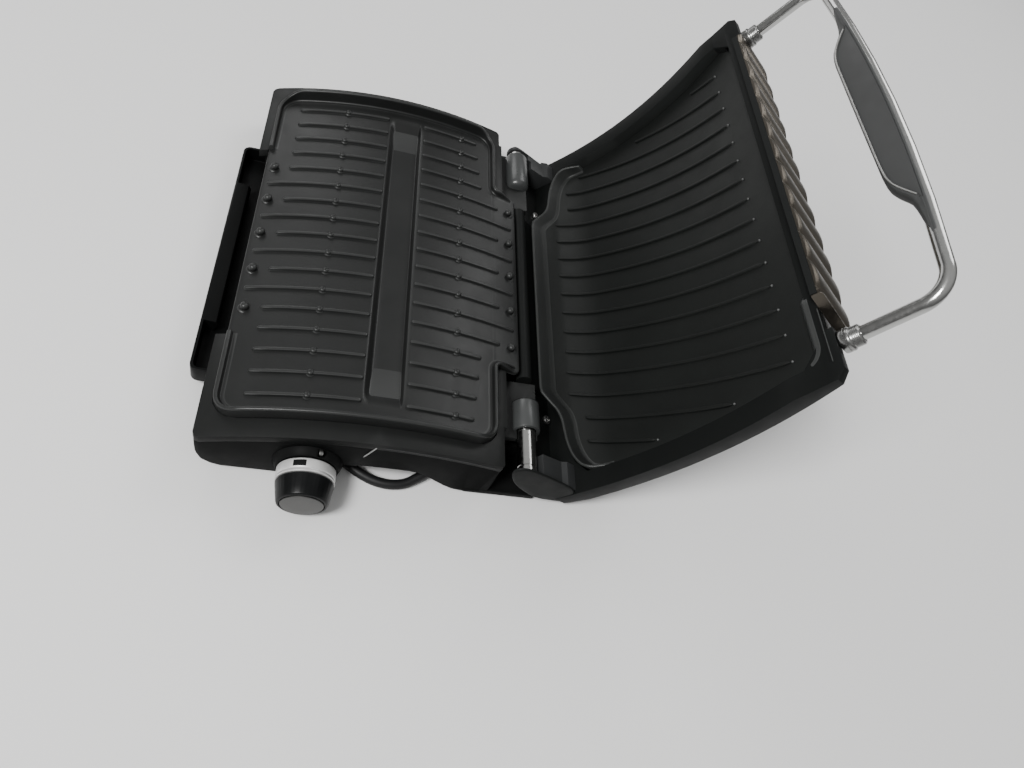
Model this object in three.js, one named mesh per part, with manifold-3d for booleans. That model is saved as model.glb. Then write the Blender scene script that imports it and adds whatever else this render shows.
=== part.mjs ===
// Panini press: a clamshell contact grill with an arched ribbed lower plate, a
// ribbed upper plate in a hinged lid, a tubular pull handle, a slide-out drip
// tray and a rotary thermostat knob. Units are millimetres, +Z is up.
//
// Working frame of the base: x runs along the width (+x is the knob side),
// y runs from the tray (front, negative) to the hinge (rear, positive), and
// z = 0 is the crown of the lower cooking surface. The root group moves the
// whole part so that it stands on z = 0 with its footprint centred.
import * as THREE from 'three';
import { mergeVertices, mergeGeometries } from 'three/addons/utils/BufferGeometryUtils.js';
import Module from 'manifold-3d';

const wasm = await Module();
wasm.setup();

// ---------------------------------------------------------------- dimensions
const P = 16;                    // rib pitch of the lower plate
const R_ARCH = 19 * P;           // radius of the arched cooking surfaces
const GAP = 0.3;                 // clearance between touching pieces
const TABLE_Z = -50.4;           // height of the support surface under the crown
const HALF_W = 156;              // half width of base and lid
const LID_W = 158;                // half width of the lid frame
const BASE_FRONT = -103.2;       // front edge of the base
const BASE_REAR = 77.5;          // rear edge of the base at its corners
const BASE_REAR_MID = 101;       // rear edge between the hinge corners
const PIN_Y = 96, PIN_Z = -23.2; // hinge axis
const OPEN_DEG = 118.73;         // how far the lid stands open from level
const LID_DY = -80.67, LID_DZ = 39.08;   // lid frame origin from the pin, lid level
const HANDLE_X = 134.2;          // centre line of the handle arms
const HANDLE_TUBE_R = 4;
const HANDLE_Y = -180;           // middle of the bowed handle crossbar, lid frame
const BLOCK_X = 83.5;            // inner end of the hinge blocks of the base
const BLOCK_R = 127, BLOCK_L = 140.5;    // outer ends of the right and left block
const BLOCK_Y = 103.2, BLOCK_Z = -21.6;  // rear edge and flat top of the blocks
const BARREL_R = 9.3, PIN_R = 6.4;
const BARREL_END = 120.6;         // outer end of the right barrel
const UP_PITCH = 18.3, UP_SLOPE = -0.323, UP_X0 = -26;   // leaning ribs of the upper plate
const PLATE_YC = 72.6;           // rear edge of the lower plate at its corners
const KNOB_Y = -38.5, KNOB_Z = -31.5;
const TRAY_HALF = 102, TRAY_FRONT = -116, TRAY_TOP = -32.5, TRAY_BOTTOM = -45.2;
const CORD_D = 6.4;
const G0 = [136.5, 64, -41.2], G1 = [145.4, 40, -43.4];   // strain relief, root and tip
const COIL_X = -80, COIL_Y = 232, COIL_R = 35.2;          // stored coil behind the lid

// shift from the working frame to the part frame
const SHIFT = [-14.15, -70.56, -TABLE_Z];

// ------------------------------------------------------------------ helpers
const arch = (y) => -(y * y) / (2 * R_ARCH);

function solid(geometry) {
  const g = geometry.index ? geometry.toNonIndexed() : geometry.clone();
  for (const n of Object.keys(g.attributes)) if (n !== 'position') g.deleteAttribute(n);
  const m = mergeVertices(g, 1e-4);
  return new wasm.Manifold(new wasm.Mesh({
    numProp: 3,
    vertProperties: new Float32Array(m.attributes.position.array),
    triVerts: new Uint32Array(m.index.array),
  }));
}
function geo(man) {
  const m = man.getMesh();
  const g = new THREE.BufferGeometry();
  const n = m.vertProperties.length / m.numProp;
  const pos = new Float32Array(n * 3);
  for (let i = 0; i < n; i++) for (let k = 0; k < 3; k++) pos[3 * i + k] = m.vertProperties[i * m.numProp + k];
  g.setAttribute('position', new THREE.BufferAttribute(pos, 3));
  g.setIndex(new THREE.BufferAttribute(new Uint32Array(m.triVerts), 1));
  g.computeVertexNormals();
  return g;
}
function shapeOf(pts) {
  const s = new THREE.Shape();
  pts.forEach((p, i) => (i ? s.lineTo(p[0], p[1]) : s.moveTo(p[0], p[1])));
  s.closePath();
  return s;
}
function ccw(pts) {
  let a = 0;
  for (let i = 0; i < pts.length; i++) {
    const [x1, y1] = pts[i], [x2, y2] = pts[(i + 1) % pts.length];
    a += x1 * y2 - x2 * y1;
  }
  return a < 0 ? pts.slice().reverse() : pts;
}
// polygon in (x, y), extruded along z
function prismZ(pts, z0, z1) {
  const g = new THREE.ExtrudeGeometry(shapeOf(ccw(pts)), { depth: z1 - z0, bevelEnabled: false });
  g.translate(0, 0, z0);
  return solid(g);
}
// polygon in (y, z), extruded along x
function prismX(pts, x0, x1) {
  const g = new THREE.ExtrudeGeometry(shapeOf(ccw(pts)), { depth: x1 - x0, bevelEnabled: false });
  g.translate(0, 0, x0);
  g.applyMatrix4(new THREE.Matrix4().set(0, 0, 1, 0, 1, 0, 0, 0, 0, 1, 0, 0, 0, 0, 0, 1));
  return solid(g);
}
// polygon in (z, x), extruded along y
function prismY(pts, y0, y1) {
  const g = new THREE.ExtrudeGeometry(shapeOf(ccw(pts)), { depth: y1 - y0, bevelEnabled: false });
  g.translate(0, 0, y0);
  g.applyMatrix4(new THREE.Matrix4().set(0, 1, 0, 0, 0, 0, 1, 0, 1, 0, 0, 0, 0, 0, 0, 1));
  return solid(g);
}
function box(x0, x1, y0, y1, z0, z1) {
  const g = new THREE.BoxGeometry(x1 - x0, y1 - y0, z1 - z0);
  g.translate((x0 + x1) / 2, (y0 + y1) / 2, (z0 + z1) / 2);
  return solid(g);
}
// turned piece: profile [[radius, along]...] starting and ending on the axis
function turned(profile, axis, at, seg = 24) {
  const g = new THREE.LatheGeometry(profile.map((p) => new THREE.Vector2(Math.max(p[0], 0), p[1])), seg);
  if (axis === 'x') g.rotateZ(-Math.PI / 2);
  if (axis === 'z') g.rotateX(Math.PI / 2);
  g.translate(at[0], at[1], at[2]);
  let m = solid(g);
  if (m.volume() < 0) {
    g.index.array.reverse();
    m = solid(g);
  }
  return m;
}
function rod(r, a0, a1, axis, at, seg = 24) {
  return turned([[0, a0], [r, a0], [r, a1], [0, a1]], axis, at, seg);
}
function roundRect(x0, x1, y0, y1, r, n = 4) {
  const out = [];
  const c = [[x1 - r, y0 + r, -90], [x1 - r, y1 - r, 0], [x0 + r, y1 - r, 90], [x0 + r, y0 + r, 180]];
  for (const [cx, cy, a] of c) {
    for (let i = 0; i <= n; i++) {
      const t = ((a + (90 * i) / n) * Math.PI) / 180;
      out.push([cx + r * Math.cos(t), cy + r * Math.sin(t)]);
    }
  }
  return out;
}
// slab that follows an arch in y, between two offsets above it
function archSlab(x0, x1, y0, y1, lo, hi, n = 18, f = arch) {
  const pts = [];
  for (let i = 0; i <= n; i++) { const y = y0 + ((y1 - y0) * i) / n; pts.push([y, f(y) + lo]); }
  for (let i = n; i >= 0; i--) { const y = y0 + ((y1 - y0) * i) / n; pts.push([y, f(y) + hi]); }
  return prismX(pts, x0, x1);
}
function sweep(points, r, steps, seg = 12, curve = null) {
  const path = curve || new THREE.CatmullRomCurve3(points.map((p) => new THREE.Vector3(...p)), false, 'centripetal');
  const s = new THREE.Shape();
  for (let i = 0; i < seg; i++) {
    const t = (2 * Math.PI * i) / seg;
    if (i) s.lineTo(r * Math.cos(t), r * Math.sin(t)); else s.moveTo(r, 0);
  }
  s.closePath();
  const g = new THREE.ExtrudeGeometry(s, { steps, extrudePath: path, bevelEnabled: false });
  let m = solid(g);
  return m;
}
function fillet(points, r, n = 6) {
  // straight runs joined by round bends of radius r
  const v = points.map((p) => new THREE.Vector3(...p));
  const out = [v[0].clone()];
  for (let i = 1; i < v.length - 1; i++) {
    const a = v[i - 1].clone().sub(v[i]).normalize(), b = v[i + 1].clone().sub(v[i]).normalize();
    const half = Math.acos(Math.min(1, Math.max(-1, a.dot(b)))) / 2;
    const t = r / Math.tan(half);
    const c = v[i].clone().add(a.clone().add(b).normalize().multiplyScalar(r / Math.sin(half)));
    const p0 = v[i].clone().addScaledVector(a, t).sub(c), p1 = v[i].clone().addScaledVector(b, t).sub(c);
    const ang = p0.angleTo(p1);
    for (let k = 0; k <= n; k++) {
      const s = k / n;
      out.push(c.clone().add(p0.clone().multiplyScalar(Math.sin((1 - s) * ang) / Math.sin(ang))
        .add(p1.clone().multiplyScalar(Math.sin(s * ang) / Math.sin(ang)))));
    }
  }
  out.push(v[v.length - 1].clone());
  return out;
}
// split long runs and set each point's height from its y
function drape(pts, z, step = 24) {
  const out = [];
  pts.forEach((p, i) => {
    if (i) {
      const q = pts[i - 1], d = q.distanceTo(p), n = Math.abs(q.y - p.y) > step ? Math.ceil(d / step) : 1;
      for (let k = 1; k < n; k++) out.push(q.clone().lerp(p, k / n));
    }
    out.push(p);
  });
  return out.map((p) => new THREE.Vector3(p.x, p.y, z(p.y)));
}
class Poly extends THREE.Curve {
  constructor(pts) { super(); this.pts = pts; }
  getPoint(t, target = new THREE.Vector3()) {
    const n = this.pts.length - 1, u = Math.min(Math.max(t, 0), 1) * n, i = Math.min(Math.floor(u), n - 1);
    return target.copy(this.pts[i]).lerp(this.pts[i + 1], u - i);
  }
  getPointAt(t, target) { return this.getPoint(t, target); }
  getTangent(t, target = new THREE.Vector3()) {
    const n = this.pts.length - 1, u = t * n, i = Math.round(u);
    const a = this.pts[Math.max(i - 1, 0)], b = this.pts[Math.min(i + 1, n)];
    if (Math.abs(u - i) < 1e-6 && i > 0 && i < n) {
      const d0 = this.pts[i].clone().sub(a).normalize(), d1 = b.clone().sub(this.pts[i]).normalize();
      return target.copy(d0.add(d1)).normalize();
    }
    const j = Math.min(Math.floor(u), n - 1);
    return target.copy(this.pts[j + 1]).sub(this.pts[j]).normalize();
  }
  getTangentAt(t, target) { return this.getTangent(t, target); }
}
// tube through every given point, one ring of the section at each
function tube(pts, r, seg = 10) {
  return sweep(null, r, pts.length - 1, seg, new Poly(pts));
}

// closed solid through matching rings of points
function loft(rings) {
  const n = rings[0].length, pos = [], idx = [];
  for (const r of rings) for (const p of r) pos.push(...p);
  for (let i = 0; i < rings.length - 1; i++) for (let j = 0; j < n; j++) {
    const a = i * n + j, b = i * n + ((j + 1) % n);
    idx.push(a, b, b + n, a, b + n, a + n);
  }
  const cap = (k, flip) => {
    const pts = rings[k].map((p) => new THREE.Vector2(p[0], p[2]));
    for (const t of THREE.ShapeUtils.triangulateShape(pts, [])) {
      const q = flip ? [t[0], t[2], t[1]] : t;
      idx.push(...q.map((v) => v + k * n));
    }
  };
  const build = (f) => {
    const save = idx.length;
    cap(0, f); cap(rings.length - 1, !f);
    const bg = new THREE.BufferGeometry();
    bg.setAttribute('position', new THREE.Float32BufferAttribute(pos, 3));
    bg.setIndex(idx.slice());
    idx.length = save;
    return bg;
  };
  for (const f of [false, true]) {
    try {
      const bg = build(f), m = solid(bg);
      if (m.isEmpty()) continue;
      if (m.volume() > 0) return m;
      bg.setIndex(Array.from(bg.index.array).reverse());
      return solid(bg);
    } catch (e) { /* the other winding of the end caps */ }
  }
  throw new Error('loft is not closed');
}

// turned profile laid along the line from a to b
function along(a, b, profile, seg = 16) {
  const g = new THREE.LatheGeometry(profile.map((p) => new THREE.Vector2(Math.max(p[0], 0), p[1])), seg);
  const d = new THREE.Vector3(...b).sub(new THREE.Vector3(...a)).normalize();
  g.applyQuaternion(new THREE.Quaternion().setFromUnitVectors(new THREE.Vector3(0, 1, 0), d));
  g.translate(...a);
  let m = solid(g);
  if (m.volume() < 0) { g.index.array.reverse(); m = solid(g); }
  return m;
}

const root = new THREE.Group();
root.position.set(...SHIFT);
const hinge = new THREE.Group();
hinge.position.set(0, PIN_Y, PIN_Z);
hinge.rotation.x = (-OPEN_DEG * Math.PI) / 180;
root.add(hinge);
const lid = new THREE.Group();
lid.position.set(0, LID_DY, LID_DZ);
hinge.add(lid);

const finish = {
  black: [0x1b1c1d, 0.42, 0.0], shell: [0x161718, 0.38, 0.0], plate: [0x53565a, 0.5, 0.35],
  plateUp: [0x484b4b, 0.5, 0.35], tin: [0x9a9ca0, 0.4, 0.9], element: [0x3a3c3b, 0.55, 0.7],
  chrome: [0xc9ccd0, 0.18, 1.0], bronze: [0x7c746a, 0.35, 0.8], grip: [0x3c3d3f, 0.55, 0.0],
  rubber: [0x131313, 0.9, 0.0], cord: [0x111213, 0.6, 0.0], silver: [0xb9bcbf, 0.3, 0.9],
  ceramic: [0xd8d3c6, 0.6, 0.0], brass: [0xb89a55, 0.35, 0.9], lens: [0xd8dde0, 0.2, 0.0],
};
function put(group, name, man, look) {
  const [color, roughness, metalness] = finish[look];
  const parts = man.decompose();
  let m = man;
  if (parts.length > 1) {                       // keep the main body, drop slivers
    m = parts.reduce((a, b) => (b.volume() > a.volume() ? b : a));
  }
  const mesh = new THREE.Mesh(geo(m), new THREE.MeshStandardMaterial({ color, roughness, metalness }));
  mesh.name = name;
  group.add(mesh);
  return mesh;
}

// ===================================================================== BASE
// Lower case: a tub with arched side walls, open at the top, its rear corners
// cut back so that the arms of the lid can pass.
const tubTop = (y) => arch(y) - 6.3;
function tubProfile(inset, topRaise) {
  const y0 = BASE_FRONT + 0.4 + inset, y1 = BASE_REAR_MID - inset;
  const pts = [];
  const n = 14;
  for (let i = 0; i <= n; i++) { const y = y1 + ((y0 - y1) * i) / n; pts.push([y, tubTop(y) + topRaise]); }
  const zb = TABLE_Z + 2 + inset;
  const lift = 18.6;
  pts.push([y0, zb + 17], [y0 + 1.4, zb + 11], [y0 + 4.4, zb + 5.8], [y0 + 9, zb + 1.9], [y0 + 14.5, zb]);
  pts.push([-52, zb]);
  for (let i = 1; i <= 5; i++) { const s = i / 6; pts.push([-52 + 32 * s, zb + lift * (3 * s * s - 2 * s * s * s)]); }
  pts.push([-20, zb + lift], [22, zb + lift]);
  for (let i = 1; i <= 5; i++) { const s = i / 6; pts.push([22 + 36 * s, zb + lift * (1 - (3 * s * s - 2 * s * s * s))]); }
  pts.push([58, zb], [y1, zb]);
  return pts;
}
const tubPlan = (inset) => {
  const w = HALF_W - inset, yr = BASE_REAR - inset, ym = BASE_REAR_MID - inset, yf = BASE_FRONT + inset, c = BLOCK_R - inset, cl = BLOCK_L - inset;
  const r = 4;
  return [[w, yf + r], [w, yr - 3], [w - 3, yr], [c, yr], [c, ym], [-cl, ym], [-cl, yr], [-w + 3, yr], [-w, yr - 3],
    [-w, yf + r], [-w + 1.2, yf + 1.2], [-w + r, yf], [w - r, yf], [w - 1.2, yf + 1.2]];
};
let tub = prismX(tubProfile(0, 0), -HALF_W, HALF_W).intersect(prismZ(tubPlan(0), -60, 10));
tub = tub.subtract(prismX(tubProfile(2.8, 12), -HALF_W, HALF_W).intersect(prismZ(tubPlan(2.8), -60, 12)));
// tray bay: slot through the front wall, and its floor stays
tub = tub.subtract(box(-TRAY_HALF - 1, TRAY_HALF + 1, BASE_FRONT - 5, BASE_FRONT + 22, TRAY_BOTTOM - 0.4, 0));
// dial shaft hole and cord hole
tub = tub.subtract(rod(5, 140, 170, 'x', [0, KNOB_Y, KNOB_Z], 16));
// window for the lid's rear skirt
tub = tub.subtract(box(-142, 132, 84, BASE_REAR_MID + 5, -33, 0)).subtract(box(-142, -133, 84, BASE_REAR_MID + 5, -37, 0));
// room for the flat hinge blocks of the bezel
for (const [a, b] of [[-142, -83], [83, 132]]) tub = tub.subtract(box(a, b, 77.1, BASE_REAR_MID + 5, -26.3, 0));
// right side wall: the rear part stands back from the front part by a step
tub = tub.subtract(prismX([[-4, -1], [-8.7, -17.2], [-12.5, -60], [76, -60], [76, -1]], HALF_W - 0.9, HALF_W + 5));
// bosses and sunk holes of the case screws
for (const [x, y] of [[-118, -60], [118, -60], [-118, 70], [118, 70]]) {
  tub = tub.add(rod(7, TABLE_Z + 3, TABLE_Z + 11.5, 'z', [x, y, 0], 12))
    .subtract(rod(4.6, TABLE_Z - 2, TABLE_Z + 7.7, 'z', [x, y, 0], 12)).subtract(rod(2.3, TABLE_Z, TABLE_Z + 13, 'z', [x, y, 0], 10));
}
// rear foot tongues under the lid arms
for (const s of [-1, 1]) {
  tub = tub.add(box(s > 0 ? 120 : -HALF_W + 0.5, s > 0 ? HALF_W - 0.5 : -120, 60, 107, TABLE_Z + 2, TABLE_Z + 4.4)
    .subtract(box(-118, 118, 0, 200, -60, 0)));
  // raised lip along the outer edge of the tongue
  tub = tub.add(box(s > 0 ? HALF_W - 2.3 : -HALF_W + 0.5, s > 0 ? HALF_W - 0.5 : -HALF_W + 2.3, 70, 107, TABLE_Z + 3, TABLE_Z + 5.8));
}
// passage of the strain relief through the front face of the rear foot
tub = tub.subtract(along(G0, G1, [[0, -4], [6.4, -4], [6.4, 40], [0, 40]], 16));
put(root, 'base_tub', tub, 'shell');

// Bezel: arched frame around the lower plate, level with the cooking surface.
const bezelPlan = () => {
  const w = HALF_W, yr = BASE_REAR, ym = BASE_REAR_MID, yf = BASE_FRONT, c = BLOCK_R, cl = BLOCK_L;
  return [[w, yf + 4], [w, yr - 2], [w - 2, yr], [c, yr], [c, ym], [-cl, ym], [-cl, yr], [-w + 2, yr], [-w, yr - 2],
    [-w, yf + 4], [-w + 1.2, yf + 1.2], [-w + 4, yf], [w - 4, yf], [w - 1.2, yf + 1.2]];
};
const PLATE_HX = 143.6, PLATE_Y0 = -96.5, PLATE_Y1 = 90;
let bezel = archSlab(-HALF_W, HALF_W, BASE_FRONT, BASE_REAR_MID, -6, 0, 20).intersect(prismZ(bezelPlan(), -60, 10));
bezel = bezel.subtract(prismZ(roundRect(-PLATE_HX - 0.4, PLATE_HX + 0.4, PLATE_Y0 - 0.4, PLATE_YC + 0.5, 16), -60, 10));
bezel = bezel.subtract(prismZ(roundRect(-BLOCK_X, BLOCK_X, PLATE_Y0 + 20, PLATE_Y1 + 0.4, 2), -60, 10));
bezel = bezel.subtract(prismZ(roundRect(-84, 84, BASE_FRONT - 20, PLATE_Y0 + 10, 5), -60, 10));
bezel = bezel.subtract(box(-BLOCK_X, BLOCK_X, PLATE_Y1 - 10, BASE_REAR_MID + 10, -60, 10));
// behind the plate the frame steps down to a flat block on each side
bezel = bezel.subtract(box(-200, 200, 79.6, BASE_REAR_MID + 10, -60, 10));
for (const [a, b] of [[-BLOCK_L, -BLOCK_X], [BLOCK_X, BLOCK_R]]) {
  bezel = bezel.add(box(a, b, 77.3, 79.6, -26, -11)).add(box(a, b, 77.3, BLOCK_Y, -26, BLOCK_Z));
}
// front apron behind the tray ties the two sides together below the plate
bezel = bezel.add(box(-93, 93, -96.4, -94.2, -31.5, -19.6)
  .add(box(84.5, 93, -99, -94.2, -31.5, -19.6)).add(box(-93, -84.5, -99, -94.2, -31.5, -19.6)));
// hinge barrels moulded on the rear corners, the left one with a domed inner end
bezel = bezel.add(rod(BARREL_R, 99.5, BARREL_END, 'x', [0, PIN_Y, PIN_Z], 28));
bezel = bezel.add(turned([[0, -142], [BARREL_R, -142], [BARREL_R, -111.4], [8.6, -108.6], [6.6, -106.8], [4, -106], [0, -106]], 'x', [0, PIN_Y, PIN_Z], 28));
// bore for each hinge pin
bezel = bezel.subtract(rod(PIN_R + 0.4, 108, 140, 'x', [0, PIN_Y, PIN_Z], 24)).subtract(rod(PIN_R + 0.4, -150, -112, 'x', [0, PIN_Y, PIN_Z], 24));
// ledge clear of the lid skirt
put(root, 'base_bezel', bezel, 'black');

// Lower cooking plate: arched casting with a low rim, ribs, a centre channel,
// catch studs, and pegs on both overhanging edges.
const PT = 3;
let plate = archSlab(-PLATE_HX, PLATE_HX, PLATE_Y0, PLATE_Y1, -PT, 0, 22);
plate = plate.intersect(prismZ(roundRect(-PLATE_HX, PLATE_HX, PLATE_Y0, PLATE_YC, 16).concat(), -60, 10)
  .add(prismZ(roundRect(-82.6, 82.6, PLATE_Y0 + 20, PLATE_Y1, 5), -60, 10)));
// rim: full height along the sides, lower at front and rear
const rimH = 9;
let rim = archSlab(-PLATE_HX, PLATE_HX, PLATE_Y0, PLATE_YC, -1, rimH, 22, (y) => -(y * y) / (2 * R_ARCH) * 1.06);
rim = rim.intersect(prismZ(roundRect(-PLATE_HX, PLATE_HX, PLATE_Y0, PLATE_YC, 16), -60, 20));
rim = rim.subtract(prismZ(roundRect(-PLATE_HX + 2.4, PLATE_HX - 2.4, PLATE_Y0 + 2.4, PLATE_YC - 2.4, 13.6), -60, 20));
rim = rim.subtract(box(-84, 84, -130, -80, -40, 20));
rim = rim.subtract(box(-80.2, 80.2, 60, 130, -40, 20));
rim = rim.intersect(prismX([[-100, -40], [-100, -11.2], [-93, -10.4], [-80, 12], [56.6, 12], [66.6, 1.5], [76.6, -6.5], [76.6, -40]], -200, 200));
plate = plate.add(rim);
// the rim turns back along the sides of the rear overhang and runs out
for (const s of [-1, 1]) plate = plate.add(prismX([[PLATE_YC - 2.4, -10], [PLATE_YC - 2.4, -2.4], [PLATE_YC, -3.3], [79, -7.4], [86, -11.4], [86, -13.4]], s > 0 ? 80.2 : -82.6, s > 0 ? 82.6 : -80.2));
// centre channel along x
plate = plate.add(box(-134, 134, -14.5, 14.5, -7.2, -1)).subtract(
  prismX([[-11.3, 5], [-11.3, -2.2], [-8.6, -4.6], [8.6, -4.6], [11.3, -2.2], [11.3, 5]], -131, 131));
const rowsFront = [], rowsRear = [];
for (let i = 1; i <= 17; i++) {
  const long = [6, 8, 10, 12].includes(i);
  const x = (i - 9) * P;
  rowsFront.push([x, long ? -92.6 : -80, -13.4]);
  let yr = 75;
  if (long) yr = 86.2; else if (i <= 4 || i >= 14) yr = 56.5 + 1.6 * (i <= 4 ? i - 1 : 17 - i);
  rowsRear.push([x, 13.4, yr]);
}
const ribs = [];
for (const [x, a, b] of rowsFront.concat(rowsRear)) {
  ribs.push(archSlab(x - 1.3, x + 1.3, a, b, -0.8, 2.2, 3));
}
for (const r of ribs) plate = plate.add(r);
for (let i = 5; i <= 13; i += 2) {
  const x = (i - 9) * P;
  plate = plate.add(rod(2.7, arch(-89.6) - 1.5, arch(-89.6) + 4.2, 'z', [x, -89.6, 0], 8));
  plate = plate.add(rod(2.7, arch(83.5) - 1.5, arch(83.5) + 4.2, 'z', [x, 83.5, 0], 8));
}
put(root, 'lower_plate', plate, 'plate');

// Reflector pan and sheathed element under the lower plate.
put(root, 'lower_reflector', archSlab(-128, 128, -80, 66, -17.4, -16.4, 10), 'tin');
{
  const z = (y) => arch(y) - 11;
  const pts = fillet([[118, -52, z(-52)], [-112, -52, z(-52)], [-112, 46, z(46)], [118, 46, z(46)]], 26, 6);
  put(root, 'lower_element', tube(drape(pts, z), 3.1, 8), 'element');
}
// thermostat body behind the dial, terminal block near the cord entry
put(root, 'thermostat_body', box(131, 146.5, KNOB_Y - 18, KNOB_Y + 5, KNOB_Z + 0.6, KNOB_Z + 12)
  .add(rod(5.2, 131, 146.5, 'x', [0, KNOB_Y, KNOB_Z], 16))
  .add(rod(4.8, 146, 152.4, 'x', [0, KNOB_Y, KNOB_Z], 16)).subtract(rod(3.4, 125, 156, 'x', [0, KNOB_Y, KNOB_Z], 12)), 'ceramic');
put(root, 'terminal_block', box(70, 96, 60, 74.5, -45.2, -35), 'ceramic');
put(root, 'thermal_fuse', rod(3, -20, 14, 'x', [40, -2, -24], 12), 'ceramic');
// dial collar on the side wall, with a small pointer
{
  let c = turned([[0, HALF_W + 0.3], [20.6, HALF_W + 0.3], [18.3, HALF_W + 5.2], [0, HALF_W + 5.2]], 'x', [0, KNOB_Y, KNOB_Z], 36);
  c = c.intersect(box(150, 170, -100, 0, TABLE_Z + 1.6, 20));
  c = c.subtract(rod(6, 150, 170, 'x', [0, KNOB_Y, KNOB_Z], 20));
  c = c.subtract(box(HALF_W + 1.2, HALF_W + 4.8, KNOB_Y + 6.5 - 1.6, KNOB_Y + 6.5 + 1.6, KNOB_Z + 16.8, KNOB_Z + 25));
  put(root, 'dial_collar', c, 'black');
  put(root, 'dial_pointer', box(HALF_W + 1.6, HALF_W + 4.4, KNOB_Y + 6.5 - 1.2, KNOB_Y + 6.5 + 1.2, KNOB_Z + 17.2, KNOB_Z + 21.0), 'silver');
}
// feet
for (const [n, x, y] of [['foot_front_left', -138, -78], ['foot_front_right', 138, -78], ['foot_rear_left', -138, 92], ['foot_rear_right', 138, 92]]) {
  put(root, n, turned([[0, TABLE_Z], [8, TABLE_Z], [9, TABLE_Z + 1], [9, TABLE_Z + 1.7], [0, TABLE_Z + 1.7]], 'z', [x, y, 0], 20), 'rubber');
}
// case screws, driven up from below
for (const [n, x, y] of [['case_screw_1', -118, -60], ['case_screw_2', 118, -60], ['case_screw_3', -118, 70], ['case_screw_4', 118, 70]]) {
  put(root, n, turned([[0, TABLE_Z + 5.2], [3.6, TABLE_Z + 5.2], [3.6, TABLE_Z + 7.4], [1.9, TABLE_Z + 7.4], [1.9, TABLE_Z + 15], [0, TABLE_Z + 15]], 'z', [x, y, 0], 10), 'silver');
}
// catch channel below the rear drain edge
{
  const prof = [[76, -33], [77.4, -33], [77.4, -43.2], [94, -43.2], [94, -38.2], [95.4, -38.2], [95.4, -44.6], [76, -44.6]];
  put(root, 'rear_drip_channel', prismX(prof, -101, 101)
    .add(prismX([[76, -33], [95.4, -38.2], [95.4, -44.6], [76, -44.6]], 99.6, 101))
    .add(prismX([[76, -33], [95.4, -38.2], [95.4, -44.6], [76, -44.6]], -101, -99.6)), 'black');
}

// ===================================================================== TRAY
{
  let t = prismZ(roundRect(-TRAY_HALF, TRAY_HALF, TRAY_FRONT, -59, 5), TRAY_BOTTOM, TRAY_TOP);
  t = t.subtract(prismZ(roundRect(-TRAY_HALF + 2, TRAY_HALF - 2, TRAY_FRONT + 2, -61, 4), TRAY_BOTTOM + 2, TRAY_TOP + 2));
  // the pull: a thick front lip between rounded ends
  t = t.add(prismX([[TRAY_FRONT, TRAY_BOTTOM], [TRAY_FRONT, TRAY_TOP], [TRAY_FRONT + 1, TRAY_TOP + 1], [TRAY_FRONT + 9.5, TRAY_TOP - 0.6],
    [TRAY_FRONT + 11, TRAY_TOP - 4], [TRAY_FRONT + 6, TRAY_BOTTOM]], -62, 64));
  // lower rear walls pass beneath the apron
  t = t.subtract(box(-130, 130, -99, -40, TRAY_TOP - 1.4, 0));
  put(root, 'drip_tray', t, 'shell');
}

// ===================================================================== KNOB
put(root, 'knob_body', turned([[0, 170.4], [16.4, 170.4], [16.9, 171.4], [14.9, 182.6], [13.7, 183.6], [0, 183.6]], 'x', [0, KNOB_Y, KNOB_Z], 36)
  .subtract(rod(3.2, 168, 178.2, 'x', [0, KNOB_Y, KNOB_Z], 12)).subtract(rod(12.9, 182.8, 190, 'x', [0, KNOB_Y, KNOB_Z], 36)), 'black');
{
  let r = rod(17.2, 161.6, 170.0, 'x', [0, KNOB_Y, KNOB_Z], 36).subtract(rod(3.2, 160, 175, 'x', [0, KNOB_Y, KNOB_Z], 12));
  put(root, 'knob_ring', r, 'silver');
}
put(root, 'knob_cap', rod(12.5, 183.1, 184.3, 'x', [0, KNOB_Y, KNOB_Z], 36), 'silver');
put(root, 'thermostat_shaft', rod(2.9, 128, 177.8, 'x', [0, KNOB_Y, KNOB_Z], 12), 'brass');

// ====================================================================== LID
// The lid pieces are written in the lid frame: level, crown at y = 0.
const pinY = -LID_DY, pinZ = -LID_DZ;
const LF = -115;                         // front edge of the lid
const LR = 89;                           // rear edge of the lid
const lowEdge = (y) => 2.35 + arch(y) + (y < -84 ? (-84 - y) * 0.22 : 0);
const topEdge = (y) => 14.8 + arch(y) - (y > 72 ? (y - 72) * 0.28 : 0);
function ring(lo, hi, x, y0, y1, n = 20) {
  const pts = [];
  for (let i = 0; i <= n; i++) { const y = y0 + ((y1 - y0) * i) / n; pts.push([y, lo(y)]); }
  for (let i = n; i >= 0; i--) { const y = y0 + ((y1 - y0) * i) / n; pts.push([y, hi(y)]); }
  return prismX(pts, -x, x);
}
const UP_HX = 143.4, UP_Y0 = -104, UP_Y1 = 81.5;
// outline of the upper plate, offset outwards by o
const upPlan = (o) => {
  const half = [[UP_HX + o, UP_Y0 + 10], [UP_HX + o, 60], [134 + o * 0.7, 68 + o * 0.7], [118 + o * 0.4, 72.5 + o], [99 + o * 0.4, 73.5 + o],
    [88 + o * 0.8, 78.6 + o * 0.8], [80 + o * 0.4, UP_Y1 + o]];
  return [[UP_HX - 10, UP_Y0 - o]].concat(half, half.map(([x, y]) => [-x, y]).reverse(), [[-UP_HX + 10, UP_Y0 - o]]);
};
let frame = ring(lowEdge, topEdge, LID_W, LF, LR).intersect(prismZ(
  [[LID_W, LF + 5], [LID_W, LR - 5], [LID_W - 5, LR], [-LID_W + 5, LR], [-LID_W, LR - 5], [-LID_W, LF + 5], [-LID_W + 5, LF], [LID_W - 5, LF]], -60, 60));
frame = frame.subtract(prismZ(upPlan(0.6), -60, 60));
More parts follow.
